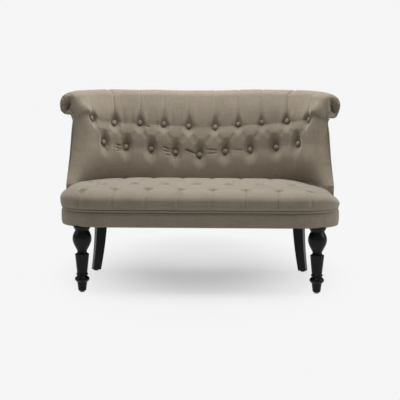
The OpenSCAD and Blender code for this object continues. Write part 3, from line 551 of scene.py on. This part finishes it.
bx, by, nx, ny, rear = seat_outline(3.2 * mm)
wall = np.linspace(0, 1, 18)[:, None]
ring = (1 - np.linspace(0, 1, 140)[1:] ** 1.8)[:, None]
lines = off_line((bx + drift(0)) / tuft_pitch - 0.5)
crease = valley(lines, edge_fold_w) * (np.abs(bx) < (side_cols + 0.4) * tuft_pitch) * (by < front_y)
crease = crease * (0.7 + 0.5 * ripple(bx, by, 0.2, 2))
puff = (puff_h + puff_more * ripple(bx, by, 0.16, 3)) * (1 - 1.8 * nx ** 2) * (1 - rear)
wall_out = (puff * np.sin(np.pi * (0.04 + 0.7 * wall)) - pinch_in * (1 - wall) ** 4 * (1 - rear)
            - crease_cut * crease * (0.2 + 0.8 * wall))
foot = seat_low.z + side_lift(by) * (1 - rear)
wall_z = foot + (pipe_top + wall_h(bx, by) - foot) * wall
wall_x, wall_y = bx + nx * wall_out, by + ny * wall_out
mid_x, mid_y = np.clip(bx, heart_in - half_w, half_w - heart_in), y_front + heart_back
top_x = mid_x + (wall_x[-1] - mid_x) * ring
top_y = mid_y + (wall_y[-1] - mid_y) * ring
gap_in = np.maximum(edge_gap(top_x, top_y) + wall_out[-1] * (1 - rear), 0)
back_dist = np.hypot(top_x - wall_x[-1], top_y - wall_y[-1])
tuck_down = rear * (tuck_depth * (1 - np.clip(back_dist / tuck_run, 0, 1)) ** 2.2 + 5 * mm)
top_z = (pipe_top + crown(top_x, top_y, gap_in) - tuck_down
         - seat_dip(top_x, top_y - y_front) * ease(gap_in / (30 * mm))
         + 1.6 * mm * ripple(top_x, top_y, 0.15, 5) * ease(gap_in / (40 * mm)))
base_ring = np.array([0.0, 0.5, 0.94])[:, None]
base_x, base_y = mid_x + (bx - mid_x) * base_ring, mid_y + (by - mid_y) * base_ring
seat_points = np.stack([
    np.concatenate([base_x, wall_x, top_x]),
    np.concatenate([base_y, wall_y, top_y]),
    np.concatenate([foot + 0 * base_ring, wall_z, top_z]),
], -1)
seat_cloth = np.concatenate([seat_points[..., :2], seat_points[:, :1, :2]], 1)
lift = [np.zeros(len(base_ring)), wall[:, 0] * front_h, np.full(len(ring), front_h)]
seat_cloth[..., 1] += np.concatenate(lift)[:, None]
seat_cushion = grid_piece("seat_cushion", seat_points, seat_cloth, loop_cols=True)
clothe(seat_cushion, linen_cover, "upholstery_linen", "seat_pad")


# Piping and border of the seat
# A covered cord is sewn in under the cushion, and a padded band of the same cloth hangs below it
# round the front and sides, turned under the rails and stapled there.
border_low, border_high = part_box("seat_border")
pipe_low, pipe_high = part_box("seat_piping")
path = round_seat(4 * mm)
seam_run = along(np.stack(path[:2], -1) + np.stack(path[2:], -1) * front_corner_r)[:, None]


def swept_band(name, out, height, share):
    """Closed section of points, out from the corner's centre and up, carried round the seat.
    share is how far each point climbs with the sewn edge along the sides."""
    cx, cy, nx, ny = (a[:, None] for a in path)
    lift = side_lift(cy + ny * front_corner_r) * share
    points = np.stack([cx + nx * out, cy + ny * out, height + lift + 0 * out], -1)
    run = along(points[:, 0])[:, None]
    girth = np.append(along(points[0]), 0)
    girth[-1] = girth[-2] + np.linalg.norm(points[0, -1] - points[0, 0])
    cloth = np.stack(np.broadcast_arrays(run, girth[None]), -1)
    return grid_piece(name, points, cloth, loop_cols=True, caps=True)


pipe_r = (pipe_high.z - pipe_low.z) / 2
pipe_mid = (pipe_high.z + pipe_low.z) / 2
around = np.linspace(0, 2 * np.pi, 20, endpoint=False)[None]
strand = pipe_r + 0.25 * mm * ripple(seam_run, 0 * seam_run, 0.05, 11)
pipe_line = front_corner_r - trim_inset - 2 * mm - 4 * mm * path[2][:, None] ** 2
piping = swept_band("seat_piping_cord", pipe_line + strand * np.cos(around),
                    pipe_mid + strand * np.sin(around), 1.0)
linen_piping = linen("linen_piping", linen_dark, linen_light)
clothe(piping, linen_piping, "linen_trim", "seat_piping")

up = np.linspace(0, 1, 22)
roll_r, band_set, band_t = 6 * mm, 1.6 * mm, 8 * mm
bulge_h, bulge_more, seam_in = 2.4 * mm, 0.8 * mm, 3 * mm
corner = np.linspace(0, np.pi / 2, 7)
tall = border_high.z - border_low.z
skirt_out = front_corner_r - trim_inset - 3.5 * mm * np.clip(-path[2][:, None], 0, 1) ** 2
bulge = (1 - (2 * up - 1) ** 2)[None] * (bulge_h + bulge_more * ripple(seam_run, 0 * seam_run, 0.11, 13))
bulge = bulge - seam_in * np.clip(up - 0.8, 0, 1)[None] / 0.2
bulge = bulge + 0.5 * mm * ripple(seam_run, up[None] * tall * 3, 0.05, 17)
face_out, inner_out = skirt_out - band_set, skirt_out - band_t
under = face_out - roll_r + roll_r * np.sin(corner)[None]
band_out = np.concatenate([inner_out, under, face_out + bulge[:, 1:], inner_out], 1)
band_up = np.concatenate([
    [border_low.z + 0.5 * mm],
    border_low.z + roll_r - roll_r * np.cos(corner),
    border_low.z + roll_r + (tall - roll_r) * up[1:],
    [border_high.z],
])[None]
climb = np.clip((band_up - border_low.z) / tall, 0, 1) ** 2
border = swept_band("seat_border_band", band_out, band_up, climb)
clothe(border, linen_cover, "upholstery_linen", "seat_border")


# Inside back, wings and scroll
# One padded cover runs from behind the seat, up the buttoned back and over the scroll to the
# cover's top edge behind. Folds join the buttons, and pleats run from the upper row over the roll.
button_pitch, button_r, button_h = 114 * mm, 11.5 * mm, 8 * mm
top_count, low_count = 10, 9
top_end, low_end = (top_count - 1) / 2 * button_pitch, (low_count - 1) / 2 * button_pitch
top_row_z, top_row_rise = 687 * mm, 36 * mm
low_row_z, low_row_rise = 559 * mm, 55 * mm
button_flat, pit_run = button_r + 1 * mm, 42 * mm
top_fold, low_fold, slant_fold = 10 * mm, 5 * mm, 4 * mm
belly_in, belly_z, belly_h = 27 * mm, 425 * mm, 140 * mm
crease_gain, crease_w = 1.9, 4 * mm
arch_h, arch_drop = 70 * mm, 14 * mm
beside_run, beside_more, beside_soft, between_soft = 18 * mm, 5 * mm, 5 * mm, 16 * mm
slope_above, slope_below = 22 * mm, 16 * mm
drop_fold, drop_w, drop_run = 2.4 * mm, 6 * mm, 110 * mm
disc_in, disc_r, uneven_h = 5 * mm, 17 * mm, 2.2 * mm
pleat_lean, pleat_w = 17 * mm, 3.2 * mm
roll_mid_z = 792 * mm
scroll_mid_r, scroll_end_r, scroll_out, corner_lift = 62 * mm, 55 * mm, 4 * mm, 4 * mm
cover_t = 8 * mm
nose_power = 2.5


def top_row(t):
    """Height of the upper row: a parabola, then an arch that drops to the wing's edge."""
    past = np.clip((np.abs(t) - top_end) / (wing_end(wing_top_z) - top_end), 0, 1)
    arch = arch_h * past * (1 - past) * (0.6 + 0.8 * past) - arch_drop * past ** 3
    return top_row_z + top_row_rise * (np.minimum(np.abs(t), top_end) / top_end) ** 2 + arch


def low_row(t):
    """Height of the lower row: a parabola up to its last button."""
    return low_row_z + low_row_rise * (np.minimum(np.abs(t), low_end) / low_end) ** 2


def near_top(t):
    """Run of the nearest button of the upper row."""
    k = np.minimum(np.floor(np.abs(t) / button_pitch) + 0.5, (top_count - 1) / 2)
    return np.where(t < 0, -1, 1) * k * button_pitch


def near_low(t):
    """Run of the nearest button of the lower row."""
    k = np.minimum(np.round(np.abs(t) / button_pitch), (low_count - 1) / 2)
    return np.sign(t) * k * button_pitch


# Each button lies a few millimetres off its place in the row, as it was pulled in by hand
top_homes, low_homes = ((np.arange(n) - (n - 1) / 2) * button_pitch for n in (top_count, low_count))
top_astray = np.array([[8, -3], [8, -8], [3, 4], [0, 7], [2, 1],
                       [11, -3], [5, 8], [0, 10], [-6, 6], [-10, -4]]) * mm
low_astray = np.array([[13, -2], [-3, 0], [0, 8], [-2, 5], [-3, -3],
                       [1, 10], [3, 8], [9, 3], [-8, -4]]) * mm


def astray(t, z):
    """Shift of the pattern at a place, blended from the buttons round it: along the run and up."""
    share = ease((z - low_row(t)) / (top_row(t) - low_row(t)))
    return [np.interp(t, top_homes, top_astray[:, k]) * share
            + np.interp(t, low_homes, low_astray[:, k]) * (1 - share) for k in (0, 1)]


def drawn_in(dt, dz, above, below):
    """Pit of a button: flat under the button, then rising out by a power, drawn out above and
    below, and a little steeper below the button than above it."""
    far = np.hypot(dt, dz * np.where(dz > 0, above, below))
    power = 2.3 - 0.1 * np.sin(np.arctan2(dz, dt))
    return button_sink * (1 - np.clip((far - button_flat) / pit_run, 0, 1)) ** power


def fold_across(t, dt, dz, past, base, seed):
    """Fold that joins the buttons of a row: soft between them and sharper beside them, with a
    longer slope above its line, fading past the row's last button, and no two alike."""
    beside = valley(dt, beside_run)
    depth = base * (1 + 0.5 * ripple(t, 0 * t, 0.11, seed)) + beside_more * beside
    soft = beside_soft + between_soft * (1 - beside)
    shape = np.where(dz > 0, valley(dz, slope_above, soft), valley(dz, slope_below, soft))
    return depth * shape * np.clip(1 - 0.35 * past / button_pitch, 0, 1)


# Pulled creases that the photograph shows: the row and number of the button they start from,
# both ends across and up from that button, and the depth before its gain, in millimetres
pulled = [
    ("low", 0, (2, -14), (10, -46), 3.0), ("low", 1, (-46, 10), (-15, 4), 4.0),
    ("low", 1, (-48, -4), (-14, -9), 4.0), ("low", 1, (-46, -18), (-8, -17), 3.0),
    ("low", 3, (-58, 24), (-22, 9), 3.4), ("low", 3, (-52, 5), (-18, -1), 3.0),
    ("low", 3, (-46, -12), (-18, -16), 2.4), ("low", 4, (-68, 25), (-15, 2), 6.0),
    ("top", 1, (20, 2), (62, 9), 3.4), ("top", 1, (24, -6), (50, -3), 2.4),
    ("top", 2, (18, -14), (48, -21), 2.6), ("top", 3, (16, 8), (56, 6), 3.4),
    ("top", 3, (20, -2), (50, -6), 2.4), ("top", 6, (15, -1), (46, 14), 3.0),
    ("low", 5, (-88, 8), (-30, 2), 2.2), ("low", 5, (-84, -14), (-34, -7), 2.0),
    ("low", 5, (22, 9), (88, 3), 1.6), ("low", 8, (5, 20), (5, 52), 3.4),
]


def pulled_creases(t, z):
    """Sum of the pulled creases: each is a bell curve of the distance to its line, tapered off
    at both ends by a sine."""
    total = 0.0
    for row, k, start, end, depth in pulled:
        homes, shifts, height = ((top_homes, top_astray, top_row) if row == "top"
                                 else (low_homes, low_astray, low_row))
        from_t, from_z = homes[k] + shifts[k, 0], height(homes[k]) + shifts[k, 1]
        du, dw = (end[0] - start[0]) * mm, (end[1] - start[1]) * mm
        pu, pw = t - from_t - start[0] * mm, z - from_z - start[1] * mm
        run = (pu * du + pw * dw) / (du ** 2 + dw ** 2)
        off = (pw * du - pu * dw) / np.hypot(du, dw)
        taper = np.sin(np.pi * np.clip(run, 0, 1)) ** 0.45
        total = total + crease_gain * depth * mm * np.exp(-(off / crease_w) ** 2) * taper
    return total


def inner_depth(t, z):
    """Depth of the padding's face under the outside cover: its full crown, less the pits, the
    folds, the slanting folds between the rows, the straight ones below, the creases, a disc
    pressed in round each button, and a parabola where it turns in under the seat's edge. All of
    it is rounded off at the wing's edge."""
    aside, up = astray(t, z)
    u, w = t - aside, z - up
    dt_top, dz_top = u - near_top(u), w - top_row(u)
    dt_low, dz_low = u - near_low(u), w - low_row(u)
    pits = np.maximum(drawn_in(dt_top, dz_top, 0.62, 0.8), drawn_in(dt_low, dz_low, 0.62, 0.66))
    past_top, past_low = np.maximum(0, np.abs(u) - top_end), np.maximum(0, np.abs(u) - low_end)
    folds = np.maximum(fold_across(u, dt_top, dz_top, past_top, top_fold, 61),
                       fold_across(u, dt_low, dz_low, past_low, low_fold, 67))
    share = np.clip((top_row(u) - w) / (top_row(u) - low_row(u)), 0, 1)
    slant = button_pitch / 2 * share
    near_slant = np.minimum(np.abs(dt_top - slant), np.abs(dt_top + slant))
    between = (w < top_row(u)) & (w > low_row(u)) & (np.abs(u) < top_end)
    slanting = np.where(between, slant_fold * valley(near_slant, 12 * mm, 5 * mm), 0)
    below = drop_fold * valley(dt_low, drop_w, 1 * mm) * np.clip(1 + dz_low / drop_run, 0, 1)
    below = np.where((w < low_row(u)) & (np.abs(u) < low_end + 50 * mm), below, 0)
    far = np.minimum(np.hypot(dt_top, dz_top), np.hypot(dt_low, dz_low))
    discs = disc_in * np.exp(-(far / disc_r) ** 4)
    uneven = uneven_h * ripple(t, z, 0.13, 23)
    belly = belly_in * corner_gain(t) * (1 - rise((z - belly_z) / belly_h))
    dents = np.maximum(np.maximum(pits, folds), slanting) + below + pulled_creases(t, z)
    dents = dents + uneven + belly + discs
    return quarter((wing_end(z) - np.abs(t)) / nose_len, nose_power) * (pad_t + 1 * mm - dents)


def scroll_r(t):
    """Radius of the scroll: it shrinks a little round the corner."""
    return scroll_mid_r - (scroll_mid_r - scroll_end_r) * np.sin(turn(t)) ** 2


def scroll_z(t):
    """Height of the scroll's centre: it stands a little higher at the corners."""
    fuller = 3.5 * mm + (corner_lift + 2 * mm * np.sign(t)) * ease((np.abs(t) - 60 * mm) / (140 * mm))
    return roll_mid_z + fuller - (scroll_mid_r - scroll_end_r) / 2 * np.sin(turn(t)) ** 2


pleat_depths = np.array([1.5, 7, 3.2, 2, 1.4, 1.2, 5, 4, 7, 3]) * mm
pleat_ends = np.array([1.5, 3.6, 2.6, 2.2, 2.0, 2.4, 2.8, 2.6, 3.6, 1.5])


def pleat(t, angle):
    """Depth of the pleats over the scroll: a sharp valley at each button of the upper row, that
    leans outwards at the outer buttons as it climbs and fades out on its way over."""
    k = np.clip(np.round(t / button_pitch + (top_count - 1) / 2), 0, top_count - 1).astype(int)
    home = top_homes[k] + top_astray[k, 0]
    lean = pleat_lean * (home / top_end) * ease((angle - 0.5) / 1.1)
    fade = np.clip((pleat_ends[k] - angle) / 1.4, 0, 1)
    return pleat_depths[k] * valley(t - home - lean, pleat_w, 0.5 * mm) * fade


low_rows, lip_rows, roll_rows, run_cols = 130, 30, 74, 600
inner_run, flat_part, foot_z = 500 * mm, 0.80, 352 * mm
end_run, end_fade, end_drop_run = 60 * mm, 90 * mm, 170 * mm
end_ahead, end_squeeze, end_sink = 4 * mm, 0.36, 0.19
gather_low, gather_out = 15 * mm, 20 * mm
lip_up, brow = 25 * mm, np.radians(35)
under_out, under_low, rear_t = 16 * mm, 26 * mm, 40 * mm
share = np.linspace(-1, 1, run_cols)[None]
beyond = np.clip((np.abs(share) - flat_part) / (1 - flat_part), 0, 1)


def run_at(z):
    """Run of each column at a height: fixed over the buttons, and spread up to the wing's edge
    beyond them, closer and closer."""
    spread = 1 - (1 - beyond) ** 1.6
    fixed = np.minimum(np.abs(share) / flat_part, 1) * inner_run
    return np.sign(share) * (fixed + spread * (wing_end(z) - inner_run))


def upright_rows():
    """Lower part of the section: from the foot up to the upper row's line."""
    v = np.linspace(0, 1, low_rows)[:, None]
    z = foot_z + (top_row(run_at(wing_top_z)) - foot_z) * v
    t = run_at(z)
    return t, outer(t, z) - inner_depth(t, z), z


def pit_mouth(off):
    """What a pit adds to the fold's own depth along the upper row's line, without an edge."""
    pit = drawn_in(off, 0 * off, 1, 1)
    return pit ** 2 / (pit + 8 * mm)


def end_z(t, left):
    """Height of the scroll's centre, which comes down over the last stretch to its ends, further
    at the right."""
    drop = 3.5 * mm + corner_lift + np.where(t > 0, 5 * mm, 0)
    return scroll_z(t) - drop * ease(1 - left / end_drop_run)


def roll_section():
    """Upper part of the section: a Bezier curve that swells out of the upper row's fold, then
    the scroll's arc over the top and down to its tuck behind. The pits of the upper row narrow
    up the curve to their pleats. At the ends the scroll comes down a little and runs ahead of
    the wing, its top sinks and its section is squeezed outwards by a quarter circle, and it is
    fuller below and outwards, where the gathers are."""
    home = run_at(wing_top_z)
    z0 = top_row(home)
    left = wing_end(wing_top_z) - np.abs(home)
    near_end = (1 - np.clip(left / end_fade, 0, 1)) ** 2
    drawn = 1 - quarter(left / end_run)
    nose = quarter(left / nose_len, nose_power)
    r = scroll_r(home) * (1 - 0.06 * near_end)
    cz = end_z(home, left)
    cr = outer(home, cz) + scroll_out - np.where(home > 0, 4 * mm, 0) * near_end
    a = (outer(home, z0) - nose * (pad_t + 1 * mm), z0)
    b_depth = (pad_t + 2 * mm + 9 * mm * np.sin(turn(home)) ** 2) * quarter(left / (30 * mm))
    b = (outer(home, z0 + lip_up) - b_depth, z0 + lip_up)
    c = (cr - r - under_out, cz - under_low)
    d = (cr - r * np.cos(brow), cz + r * np.sin(brow))
    u = np.linspace(0, 1, lip_rows)[1:, None]
    weights = ((1 - u) ** 3, 3 * (1 - u) ** 2 * u, 3 * (1 - u) * u ** 2, u ** 3)
    lip_r, lip_z = (sum(w * p[k] for w, p in zip(weights, (a, b, c, d))) for k in (0, 1))
    aside = home - astray(home, z0)[0]
    off = aside - near_top(aside)
    wide = pit_mouth(off / (1 - 0.85 * u)) * (1 - u) ** 2.6
    narrow = pit_mouth(off / np.maximum(1 - 1.7 * u, 0.12)) * (1 - ease((u - 0.04) / 0.5))
    pits = (wide * 0.5 + narrow * 0.5) * nose
    start = outer(home, z0) - inner_depth(home, z0) - a[0] - pit_mouth(off) * nose
    lip_r = lip_r + pits + start * (1 - ease(u / 0.8))
    lip_r = lip_r + pleat(home, brow * u) * ease(u / 0.12)
    tuck = np.radians(270) + np.arcsin(np.clip(
        (scroll_out + cover_t - 2 * mm + outer(home, cz) - outer(home, cz - r)) / r, -1, 1))
    f = np.linspace(0, 1, roll_rows)[1:, None]
    angle = brow + (tuck - brow) * f
    soft = 1.5 * mm * ripple(home + 0 * angle, angle * r, 0.14, 29)
    low_rim = np.where(home > 0, 13 * mm, 7 * mm)
    low_at = np.radians(np.where(home > 0, 245, 225))
    fuller = low_rim * near_end * np.exp(-((angle - low_at) / 0.45) ** 2)
    arm = r + fuller - pleat(home, angle) + soft * np.clip(f * 6, 0, 1) * np.clip((1 - f) * 6, 0, 1)
    arc_r, arc_z = cr - arm * np.cos(angle), cz + arm * np.sin(angle)
    z = np.concatenate([lip_z, arc_z])
    rad = np.concatenate([lip_r, arc_r])
    above_neck = np.concatenate([ease((lip_z - z0) / (75 * mm)),
                                 1 - ease((angle - np.pi) / (np.pi / 2)) + 0 * home])
    rad = rad + (cr + r - rad) * end_squeeze * drawn * above_neck
    ahead = near_end * end_ahead * np.append(ease(u), np.ones_like(f))[:, None]
    z = z - end_sink * drawn * np.maximum(0, z - (cz - gather_low))
    return home + np.sign(home) * ahead, rad, z


t_low, r_low, z_low = upright_rows()
t_roll, r_roll, z_roll = roll_section()
thinner = ease((beyond - 0.2) / 0.4)
rear_depth = rear_t * (1 - thinner) + (cover_t + 1 * mm) * thinner
rear_depth = rear_depth * (1 - ease((beyond - 0.86) / 0.06))
edge_swell = 7 * mm * np.sin(np.pi * np.clip((beyond - 0.88) / 0.12, 0, 1))
back_steps = np.linspace(1, 0, 7)[1:-1, None]
top_z = cad_high.z - 2 * scroll_mid_r - 6 * mm
z_rear = foot_z + (np.minimum(top_z, z_roll[-1:] - 4 * mm) - foot_z) * back_steps
t_rear = run_at(z_rear)
r_rear = outer(t_rear, z_rear) - rear_depth + edge_swell * ease((z_rear - 490 * mm) / (120 * mm))
z_foot = np.full_like(t_low[:1], foot_z)
t_foot = run_at(z_foot)
r_foot = outer(t_foot, z_foot) - rear_depth
t_all = np.concatenate([t_low, t_roll, t_rear, t_foot])
r_all = np.concatenate([r_low, r_roll, r_rear, r_foot])
z_all = np.concatenate([z_low, z_roll, z_rear, z_foot])
x_all, y_all = plan(t_all, r_all)
back_points = np.stack([x_all, y_all, z_all], -1)
girth = along(back_points[:, run_cols // 2])[:, None]
back_cloth = np.stack(np.broadcast_arrays(t_all, girth + 0 * t_all), -1)
back_cloth = np.concatenate([back_cloth, back_cloth[-1:] + (0, 0.1)])
inside_back = grid_piece("buttoned_back_and_scroll", back_points, back_cloth, loop=True)
clothe(inside_back, linen_cover, "upholstery_linen", "inside_back", "top_roll")


# Gathered ends of the scroll
# The roll's cloth is drawn over each end into a rosette of pleats and caught down low and
# outwards of the middle.
cap_rings, cap_h, slot_depth, pleat_cut = 40, 24 * mm, 28 * mm, 7 * mm


def scroll_end(name, side):
    """Cap on the roll's end ring: rings drawn in to the gather point, which swell as a dome with
    a round rim. An upright slot sinks in at the gather, and pleats, a power of a cosine of the
    angle round it, cut the outer half. The neck over the wing and the inner flank stay flat."""
    column = -1 if side > 0 else 0
    rim = back_points[low_rows - 1:low_rows + lip_rows + roll_rows - 2, column]
    t = side * wing_end(wing_top_z)
    a = turn(t)
    outwards = np.array([side * np.sin(a), np.cos(a), 0])
    face = np.array([side * np.cos(a), -np.sin(a), 0])
    centre = np.append(plan(t, outer(t, scroll_z(t)) + scroll_out), end_z(t, 0))
    gather = centre + gather_out * outwards - [0, 0, gather_low]
    rings = np.linspace(1, 0, cap_rings)[:, None, None]
    spokes = rim[None] - gather
    aside, up = (spokes @ outwards)[..., None], spokes[..., 2:]
    heading = np.arctan2(up, aside)
    outer_half = ease((np.cos(heading - 0.2) + 0.35) / 0.6)
    neck = ease((-20 * mm - up) / (24 * mm))
    flank_side = ease((-np.cos(heading) - 0.1) / 0.5)
    dome = cap_h * np.sqrt(1 - rings ** 2.2) * (1 - 0.8 * neck) * (1 - 0.8 * flank_side)
    across = np.abs(rings * (aside + 0.35 * up) / (10 * mm))
    slot = slot_depth * np.exp(-across ** 1.5 - (rings * up / (26 * mm)) ** 2)
    folds = np.abs(np.cos(heading * 5.5 + 0.6 * np.sin(2 * heading) + rings)) ** 0.7
    cut = pleat_cut * (1 - folds) * np.sin(np.pi * (rings * 0.9 + 0.06)) ** 0.6 * outer_half
    cut = cut * np.clip((1 - rings) * 5, 0, 1)
    points = gather + spokes * rings ** 0.85 + face * (dome - slot - cut)
    cloth = np.stack(np.broadcast_arrays(along(points[0])[None], 60 * mm * (1 - rings[..., 0])), -1)
    cloth = np.concatenate([cloth, cloth[:, :1]], 1)
    return grid_piece(name, points, cloth, loop_cols=True)


linen_gather = linen("linen_gather", linen_dark, linen_light)
for side, word in ((-1, "left"), (1, "right")):
    end = scroll_end("scroll_end_" + word, side)
    clothe(end, linen_gather, "linen_trim", "roll_gather_" + word)


# Covered buttons
# Metal shells covered with the sofa's cloth, held at the bottom of their pits by twine that is
# tied behind the webbing. The cloth is gathered under each shell's edge.
edge_h = 1.6 * mm


def covered_buttons(name, homes, shifts, row, seed):
    """Domes of revolution, one per home and shift: a short upright edge, then a quarter ellipse
    to the middle, each turned square to its pit and a little askew."""
    around = np.linspace(0, 2 * np.pi, 40, endpoint=False)
    climb = np.linspace(0, np.pi / 2, 12)
    radius = np.concatenate([[0, button_r * 0.8, button_r * 0.97], button_r * np.cos(climb)])
    height = np.concatenate([[0, 0, 0.3 * mm], edge_h + (button_h - edge_h) * np.sin(climb) ** 0.9])
    draw = np.random.default_rng(seed)
    domes, cloths = [], []
    for home, shift in zip(homes, shifts):
        t, z = home + shift[0], row(home) + shift[1]
        out = outer(t, z) - (pad_t + 1 * mm - button_sink) - 1.5 * mm
        facing = np.arctan(tan_lean * np.sin(2 * turn(t)) * (z - lean_z) / out) + turn(t)
        tilt = np.arctan(tan_lean * np.cos(turn(t)) ** 2)
        askew = Euler((draw.uniform(-0.06, 0.06), draw.uniform(-0.06, 0.06), draw.uniform(0, 3)))
        pose = (Matrix.Rotation(-np.sign(t) * facing, 3, "Z")
                @ Matrix.Rotation(np.pi / 2 - tilt, 3, "X") @ askew.to_matrix())
        wobble = 1 + 0.012 * np.sin(3 * around + draw.uniform(0, 6))
        flat = np.stack([np.outer(radius, np.cos(around) * wobble),
                         np.outer(radius, np.sin(around) * wobble),
                         np.outer(height, np.ones_like(around))], -1)
        domes.append(flat @ np.array(pose).T + np.append(plan(t, out), z))
        cloths.append(np.concatenate([flat[..., :2], flat[:, :1, :2]], 1) + t)
    return [grid_piece(f"{name}_{k + 1}", d, c, loop_cols=True)
            for k, (d, c) in enumerate(zip(domes, cloths))]


def joined(name, parts):
    """One object from several."""
    shell = bmesh.new()
    for part in parts:
        shell.from_mesh(part.data)
        bpy.data.objects.remove(part)
    mesh = bpy.data.meshes.new(name)
    shell.to_mesh(mesh)
    shell.free()
    return placed(name, mesh)


for word, homes, shifts, row, seed in (("top", top_homes, top_astray, top_row, 41),
                                       ("low", low_homes, low_astray, low_row, 43)):
    buttons = joined(f"covered_buttons_{word}_row", covered_buttons(word, homes, shifts, row, seed))
    clothe(buttons, linen_cover, "upholstery_linen", f"buttons_{word}_row")


# Outside back
# One stretched cover over thin padding, from under the scroll down behind the back and the
# wings, turned under the frame's lower edge and stapled there.
outside_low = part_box("outside_back_cover")[0].z
cols, rows = 260, 70
out_share = np.linspace(-1, 1, cols)[None]
middle_part, side_part, shown_part, hem_r = 0.7, 0.3, 0.9, 6 * mm
full_out, full_more = 1.8 * mm, 1.2 * mm


def outside_run(z):
    """Run of each column, up to the line where the inside cover wraps round the wing's edge."""
    rest = np.clip((np.abs(out_share) - middle_part) / side_part, 0, 1)
    fixed = np.minimum(np.abs(out_share) / middle_part, 1) * top_end
    shown = np.where(z < lean_z - 80 * mm, 1.0, shown_part)
    return np.sign(out_share) * (fixed + rest * shown * (wing_end(z) - top_end))


def outside_face():
    """Face of the cover, from its lower edge to under the scroll, with a slow unevenness and a
    rolled lower edge, then its inner face, 8 mm further in."""
    v = np.linspace(0, 1, rows)[:, None]
    top_run = outside_run(wing_top_z)
    peak = scroll_z(top_run) - scroll_r(top_run) - 0.6 * mm
    z = outside_low + (peak - outside_low) * v
    t = outside_run(z)
    height = z - outside_low
    hem = hem_r * (1 - quarter(height / hem_r))
    fullness = np.sin(np.pi * v) * (full_out + full_more * ripple(t, z, 0.28, 53))
    r = np.concatenate([outer(t, z) - hem + fullness, outer(t, z)[::-1] - cover_t])
    return np.concatenate([t, t[::-1]]), r, np.concatenate([z, z[::-1]])


t_out, r_out, z_out = outside_face()
x_out, y_out = plan(t_out, r_out)
out_points = np.stack([x_out, y_out, z_out], -1)
out_cloth = np.stack([t_out, z_out + 0 * t_out], -1)
out_cloth = np.concatenate([out_cloth, out_cloth[:1]])
outside = grid_piece("outside_back_panel", out_points.swapaxes(0, 1), out_cloth.swapaxes(0, 1),
                     loop_cols=True, caps=True)
linen_outside = linen("linen_outside", linen_dark, linen_light)
clothe(outside, linen_outside, "outside_linen", "outside_back_cover")


# Camera, light and floor
# The camera stands where the photograph was taken from. A large soft box hangs over the sofa,
# two weaker ones fill from the sides. The floor turns into the background's tone away from the
# sofa, for the camera's rays and for reflections only, so that it adds no light.
photo_side = 400
focal_px = 804.0
camera_data = bpy.data.cameras.new("photo_camera")
camera_data.sensor_width = 36.0
camera_data.lens = focal_px / photo_side * camera_data.sensor_width
camera = placed("photo_camera", camera_data)
pitch, roll = np.radians(4.547), np.radians(0.37)
camera.location = (0, -3.556, 0.642)
level = Euler((np.pi / 2 - pitch, 0, 0)).to_matrix()
camera.rotation_euler = (level @ Matrix.Rotation(roll, 3, "Z")).to_euler()
bpy.context.scene.camera = camera
bpy.context.scene.view_settings.view_transform = "Standard"


def soft_box(name, place, aim, size, power):
    """Square area lamp that faces a point."""
    data = bpy.data.lights.new(name, "AREA")
    data.shape, data.size, data.energy = "SQUARE", size, power
    lamp = placed(name, data)
    lamp.location = place
    toward = np.array(aim) - np.array(place)
    lamp.rotation_euler = Vector(toward).to_track_quat("-Z", "Y").to_euler()


soft_box("overhead", (0.0, -0.05, 2.3), (0, 0, 0.4), 1.5, 47)
soft_box("right_side", (3.0, -0.6, 1.7), (0, 0, 0.5), 1.4, 27)
soft_box("left_side", (-3.0, -0.3, 1.8), (0, 0, 0.5), 1.4, 10)

# White sky, as bright as the background to the camera and weaker as a light
backdrop_tone, sky_light = 0.92, 0.22
world = bpy.data.worlds.new("studio")
bpy.context.scene.world = world
sky = Nodes(world, "Background", Color=(1, 1, 1, 1))
sky.feed(Strength=sky.node("LightPath", {}, {}) * (backdrop_tone - sky_light) + sky_light)

floor_side = 60.0
corners = np.array([[-1, -1, 0], [1, -1, 0], [1, 1, 0], [-1, 1, 0]]) * floor_side / 2
floor_mesh = bpy.data.meshes.new("floor")
floor_mesh.from_pydata(corners.tolist(), [], [(0, 1, 2, 3)])
floor = placed("floor", floor_mesh)
floor_finish = Finish("pale_floor", Roughness=0.28, Specular_IOR_Level=0.25)
floor_mesh.materials.append(floor_finish.material)
place = floor_finish.on_object()
cloudy = floor_finish.noise(place, (3, 3, 3))
floor_finish.feed(Base_Color=floor_finish.blend(cloudy, (0.86, 0.86, 0.86), (0.89, 0.89, 0.89)))
behind = floor_finish.node("VectorMath", {"operation": "SUBTRACT"}, {0: place, 1: (0, 0.45, 0)})
footprint = floor_finish.node("VectorMath", {"operation": "DIVIDE"}, {0: behind, 1: (0.55, 1.0, 1)})
distance = floor_finish.node("VectorMath", {"operation": "LENGTH"}, {0: footprint}, out=1)
away = floor_finish.node("MapRange", {"interpolation_type": "SMOOTHSTEP"},
                         {"Value": distance, "From Min": 0.3, "From Max": 1.4, "To Min": 0.45})
glow = floor_finish.node("Emission", {}, {"Color": (1, 1, 1, 1), "Strength": backdrop_tone})
seen = floor_finish.node("LightPath", {}, {})
shown = away * (seen + seen.also("Is Glossy Ray"))
mixed = floor_finish.node("MixShader", {}, {
    0: shown, 1: Wire(floor_finish, floor_finish.shader.outputs[0]), 2: glow})
floor_finish.tree.links.new(mixed.socket, floor_finish.tree.nodes["Material Output"].inputs["Surface"])
